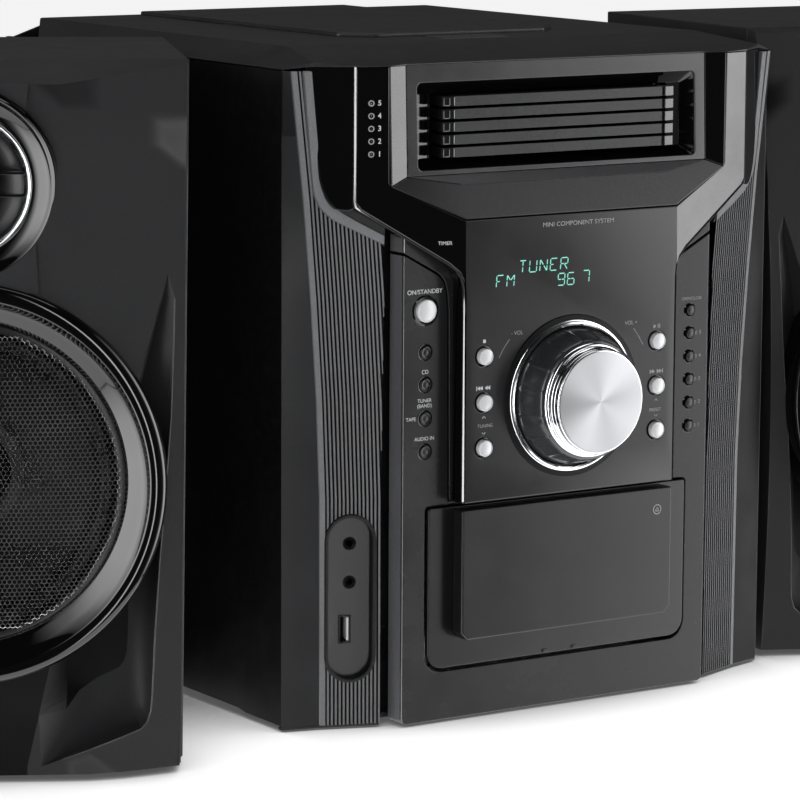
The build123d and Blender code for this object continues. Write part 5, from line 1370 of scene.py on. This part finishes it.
    # tweeter: flared rim, bright ring, dish with bars and dome
    tw = lathe(which + "_tweeter_rim", [(40.5, 26.0), (43.0, 18.0), (43.2, 9.2), (42.8, 8.0), (42.0, 7.4), (41.2, 7.8), (40.6, 8.8), (37.0, 10.8), (34.0, 12.2), (33.2, 12.4), (32.6, 11.2), (31.6, 10.8), (30.8, 11.3), (30.2, 12.6), (29.0, 14.6), (24.0, 17.8), (16.0, 19.2), (11.0, 19.4), (10.4, 18.2), (9.2, 17.6), (6.8, 15.6), (3.6, 14.3), (0.05, 13.9)],
               (0, TZ), [M["gloss"], M["chrome"], M["surround"]], body, "tweeter", to=to, n=128, sharp=50,
               fmat=[0, 0, 0, 0, 0, 0, 0, 0, 0, 1, 1, 1, 1, 0, 2, 2, 2, 1, 1, 1, 1, 1])
    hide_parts(which + "_tweeter")
    for s in (-1, 1):
        vs = []
        zc = TZ + s * 5.0
        for uu in (-29.6, 29.6):
            vs += [(uu, 12.2, zc - 0.55), (uu, 12.2, zc + 0.55), (uu, 15.6, zc + 0.75), (uu, 15.6, zc - 0.75)]
        poly(f"{which}_tweeter_bar_{'low' if s < 0 else 'high'}", vs, [(0, 1, 2, 3), (7, 6, 5, 4), (0, 4, 5, 1), (1, 5, 6, 2), (2, 6, 7, 3), (3, 7, 4, 0)], M["gloss"], body, "tweeter", to=to, bevel=0.3, segs=3)
    # centre strip that carries the tweeter, proud of the facets by a fine step
    st = rounded([(-31.4, 318.6), (31.4, 318.6), (28.6, 300), (33.5, 250), (35.0, 226), (-35.0, 226), (-33.5, 250), (-28.6, 300)], 0, 1)

    def strip_y(u, z):
        return vc(z) - 0.7
    zs = [226, 235, 245, 255, 265, 275, 285, 295, 305, 312, 318.2]
    sv, sf = [], []
    for z in zs:
        hwid = np.interp(z, [226, 250, 300, 318.6], [35.0, 33.5, 29.0, 31.4])
        sv += [(-hwid, strip_y(0, z) + 4, z), (-hwid, strip_y(0, z), z), (hwid, strip_y(0, z), z), (hwid, strip_y(0, z) + 4, z)]
    for a in range(len(zs) - 1):
        for b in range(3):
            i = a * 4 + b
            sf.append((i, i + 1, i + 5, i + 4))
    e = (len(zs) - 1) * 4
    sf.append((e, e + 1, e + 2, e + 3))
    strip = poly(which + "_centre_strip", sv, sf, M["baffle_strip"], body, "baffle", to=to)
    # open the strip round the tweeter
    bmc = bmesh.new()
    bmesh.ops.create_cone(bmc, cap_ends=True, segments=96, radius1=0.0422, radius2=0.0422, depth=0.1)
    mc = bpy.data.meshes.new("cut")
    bmc.to_mesh(mc)
    bmc.free()
    oc = bpy.data.objects.new("cut", mc)
    bpy.context.scene.collection.objects.link(oc)
    ax = (to((0, 1, 0)) - to((0, 0, 0))).normalized()
    oc.matrix_world = Matrix.Translation(to((0, 10, TZ))) @ Vector((0, 0, 1)).rotation_difference(ax).to_matrix().to_4x4()
    md = strip.modifiers.new("hole", "BOOLEAN")
    md.object = oc
    md.solver = "EXACT"
    sol = None
    bpy.context.view_layer.update()
    dg = bpy.context.evaluated_depsgraph_get()
    ms = bpy.data.meshes.new_from_object(strip.evaluated_get(dg))
    strip.modifiers.clear()
    strip.data = ms
    bpy.data.objects.remove(oc)
    lathe(which + "_tweeter_seat", [(43.6, 14.0), (44.4, vc(TZ) + 1.0), (43.2, vc(TZ) + 3.0)], (0, TZ), M["cavity"], body, "baffle", to=to, n=96)


speaker("left")
speaker("right")

# ---------------------------------------------------------------- floor, backdrop and light
def stage_mesh(name, verts, faces, mat):
    me = bpy.data.meshes.new(name)
    me.from_pydata(verts, [], faces)
    o = bpy.data.objects.new(name, me)
    bpy.context.scene.collection.objects.link(o)
    me.materials.append(mat)
    return o


fm = bpy.data.materials.new("floor")
nt = nodes_of(fm)
out = nt.nodes.new("ShaderNodeOutputMaterial")
b = nt.nodes.new("ShaderNodeBsdfPrincipled")
b.inputs["Base Color"].default_value = (0.62, 0.62, 0.62, 1)
b.inputs["Roughness"].default_value = 0.9
b.inputs["Specular IOR Level"].default_value = 0.0
b.inputs["Emission Color"].default_value = (1, 1, 1, 1)
# the floor's glow is dimmed by ambient occlusion close to the objects: painted contact shadow
ao = nt.nodes.new("ShaderNodeAmbientOcclusion")
ao.samples = 8
ao.inputs["Distance"].default_value = 0.06
sh_ = nt.nodes.new("ShaderNodeMapRange")
sh_.inputs["From Min"].default_value = 0.15
sh_.inputs["From Max"].default_value = 0.75
sh_.inputs["To Min"].default_value = 0.05
sh_.inputs["To Max"].default_value = 0.88
nt.links.new(ao.outputs["AO"], sh_.inputs["Value"])
nt.links.new(sh_.outputs["Result"], b.inputs["Emission Strength"])
nt.links.new(b.outputs[0], out.inputs[0])
floor = stage_mesh("floor", [(-30, -30, 0), (30, -30, 0), (30, 30, 0), (-30, 30, 0)], [(0, 1, 2, 3)], fm)
floor.visible_glossy = False
floor.visible_shadow = False

# a soft wall of light whose brightness changes along its length; the camera never sees it
wm = bpy.data.materials.new("light_wall")
nt = nodes_of(wm)
out = nt.nodes.new("ShaderNodeOutputMaterial")
em = nt.nodes.new("ShaderNodeEmission")
at = nt.nodes.new("ShaderNodeAttribute")
at.attribute_name = "glow"
nt.links.new(at.outputs["Fac"], em.inputs["Strength"])
nt.links.new(em.outputs[0], out.inputs[0])
RW = 4.0
az = [a * 0.5 for a in range(-360, 361)]
zl = [-3.0, -2.0, -1.0, -0.2, 0.4, 1.0, 1.8, 2.8, 4.0]
# brightness against the compass angle of the wall as seen from the object: 0 is +X, -90 is towards the viewer's side
GA = [(-180, 6.0), (-166, 6.0), (-157, 1.0), (-150, 0.04), (-114, 0.02), (-107.5, 0.05), (-106.5, 8.0), (-102.0, 8.0), (-101.0, 0.05), (-97, 0.02), (-80, 0.03), (-66, 0.10), (-58, 0.25), (-56, 0.6),
      (-54.3, 1.6), (-52.5, 3.2), (-50, 4.2), (-44, 5.2), (-30, 5.4), (-18, 5.2), (-15.5, 1.0), (-13, 0.05), (10, 0.04), (60, 0.06), (128, 0.02), (140, 0.1), (152, 2.5), (166, 6.0), (180, 6.0)]
GZ = [(-3.0, 0.4), (-1.6, 1.0), (0.4, 1.0), (1.5, 1.0), (2.6, 0.35), (4.0, 0.05)]
verts, faces, glow = [], [], []
for z in zl:
    for a in az:
        t = math.radians(a)
        verts.append((RW * math.cos(t), RW * math.sin(t), z))
        glow.append(float(np.interp(a, [g[0] for g in GA], [g[1] for g in GA]) * np.interp(z, [g[0] for g in GZ], [g[1] for g in GZ])))
na = len(az)
for r in range(len(zl) - 1):
    for i in range(na - 1):
        faces.append((r * na + i, r * na + i + 1, (r + 1) * na + i + 1, (r + 1) * na + i))
wall = stage_mesh("light_wall", verts, faces, wm)
g = wall.data.attributes.new("glow", "FLOAT", "POINT")
g.data.foreach_set("value", np.array(glow, np.float32))
wall.visible_camera = False
wall.visible_shadow = False
wall.visible_diffuse = False
um = bpy.data.materials.new("light_below")
nt = nodes_of(um)
out = nt.nodes.new("ShaderNodeOutputMaterial")
em = nt.nodes.new("ShaderNodeEmission")
em.inputs["Strength"].default_value = 2.2
nt.links.new(em.outputs[0], out.inputs[0])
nn = 48
below = stage_mesh("light_below", [(4.0 * math.cos(2 * math.pi * i / nn), 4.0 * math.sin(2 * math.pi * i / nn), -3.05) for i in range(nn)], [tuple(range(nn))], um)
below.visible_camera = False
below.visible_shadow = False
below.visible_diffuse = False


def area(name, loc, target, sx, sy, power, glossy=True, diffuse=True):
    l = bpy.data.lights.new(name, "AREA")
    l.shape = "RECTANGLE"
    l.size, l.size_y = sx, sy
    l.energy = power
    o = bpy.data.objects.new(name, l)
    bpy.context.scene.collection.objects.link(o)
    d = (Vector(target) - Vector(loc)).normalized()
    o.matrix_world = Matrix.Translation(loc) @ d.to_track_quat("-Z", "Y").to_matrix().to_4x4()
    o.visible_glossy = glossy
    return o


area("overhead", (0.2, 0.3, 2.6), (0, 0, 0.2), 2.6, 1.6, 21)
area("key", (-1.9, -1.9, 1.4), (0, 0, 0.15), 1.8, 1.4, 16, glossy=False)
area("front_fill", (-1.0, -3.0, 2.2), (0, 0, 0.15), 2.0, 1.4, 6, glossy=False)

world = bpy.data.worlds.new("world")
bpy.context.scene.world = world
world.use_nodes = True
nt = world.node_tree
nt.nodes.clear()
bg = nt.nodes.new("ShaderNodeBackground")
bg.inputs["Color"].default_value = (0.9, 0.9, 0.9, 1)
bg.inputs["Strength"].default_value = 0.02
wo_ = nt.nodes.new("ShaderNodeOutputWorld")
nt.links.new(bg.outputs[0], wo_.inputs[0])

dm = bpy.data.materials.new("backdrop")
nt = nodes_of(dm)
out = nt.nodes.new("ShaderNodeOutputMaterial")
em = nt.nodes.new("ShaderNodeEmission")
em.inputs["Color"].default_value = (0.97, 0.97, 0.97, 1)
em.inputs["Strength"].default_value = 1.0
nt.links.new(em.outputs[0], out.inputs[0])
dv, df = [], []
for j in range(13):
    ph = math.pi * j / 12
    for i in range(24):
        th = 2 * math.pi * i / 24
        dv.append((25 * math.sin(ph) * math.cos(th), 25 * math.sin(ph) * math.sin(th), 25 * math.cos(ph)))
for j in range(12):
    for i in range(24):
        df.append((j * 24 + i, (j + 1) * 24 + i, (j + 1) * 24 + (i + 1) % 24, j * 24 + (i + 1) % 24))
dome = stage_mesh("backdrop", dv, df, dm)
for a in ("visible_glossy", "visible_diffuse", "visible_transmission", "visible_shadow"):
    setattr(dome, a, False)

bpy.context.scene.view_settings.view_transform = "Standard"


bpy.context.view_layer.update()
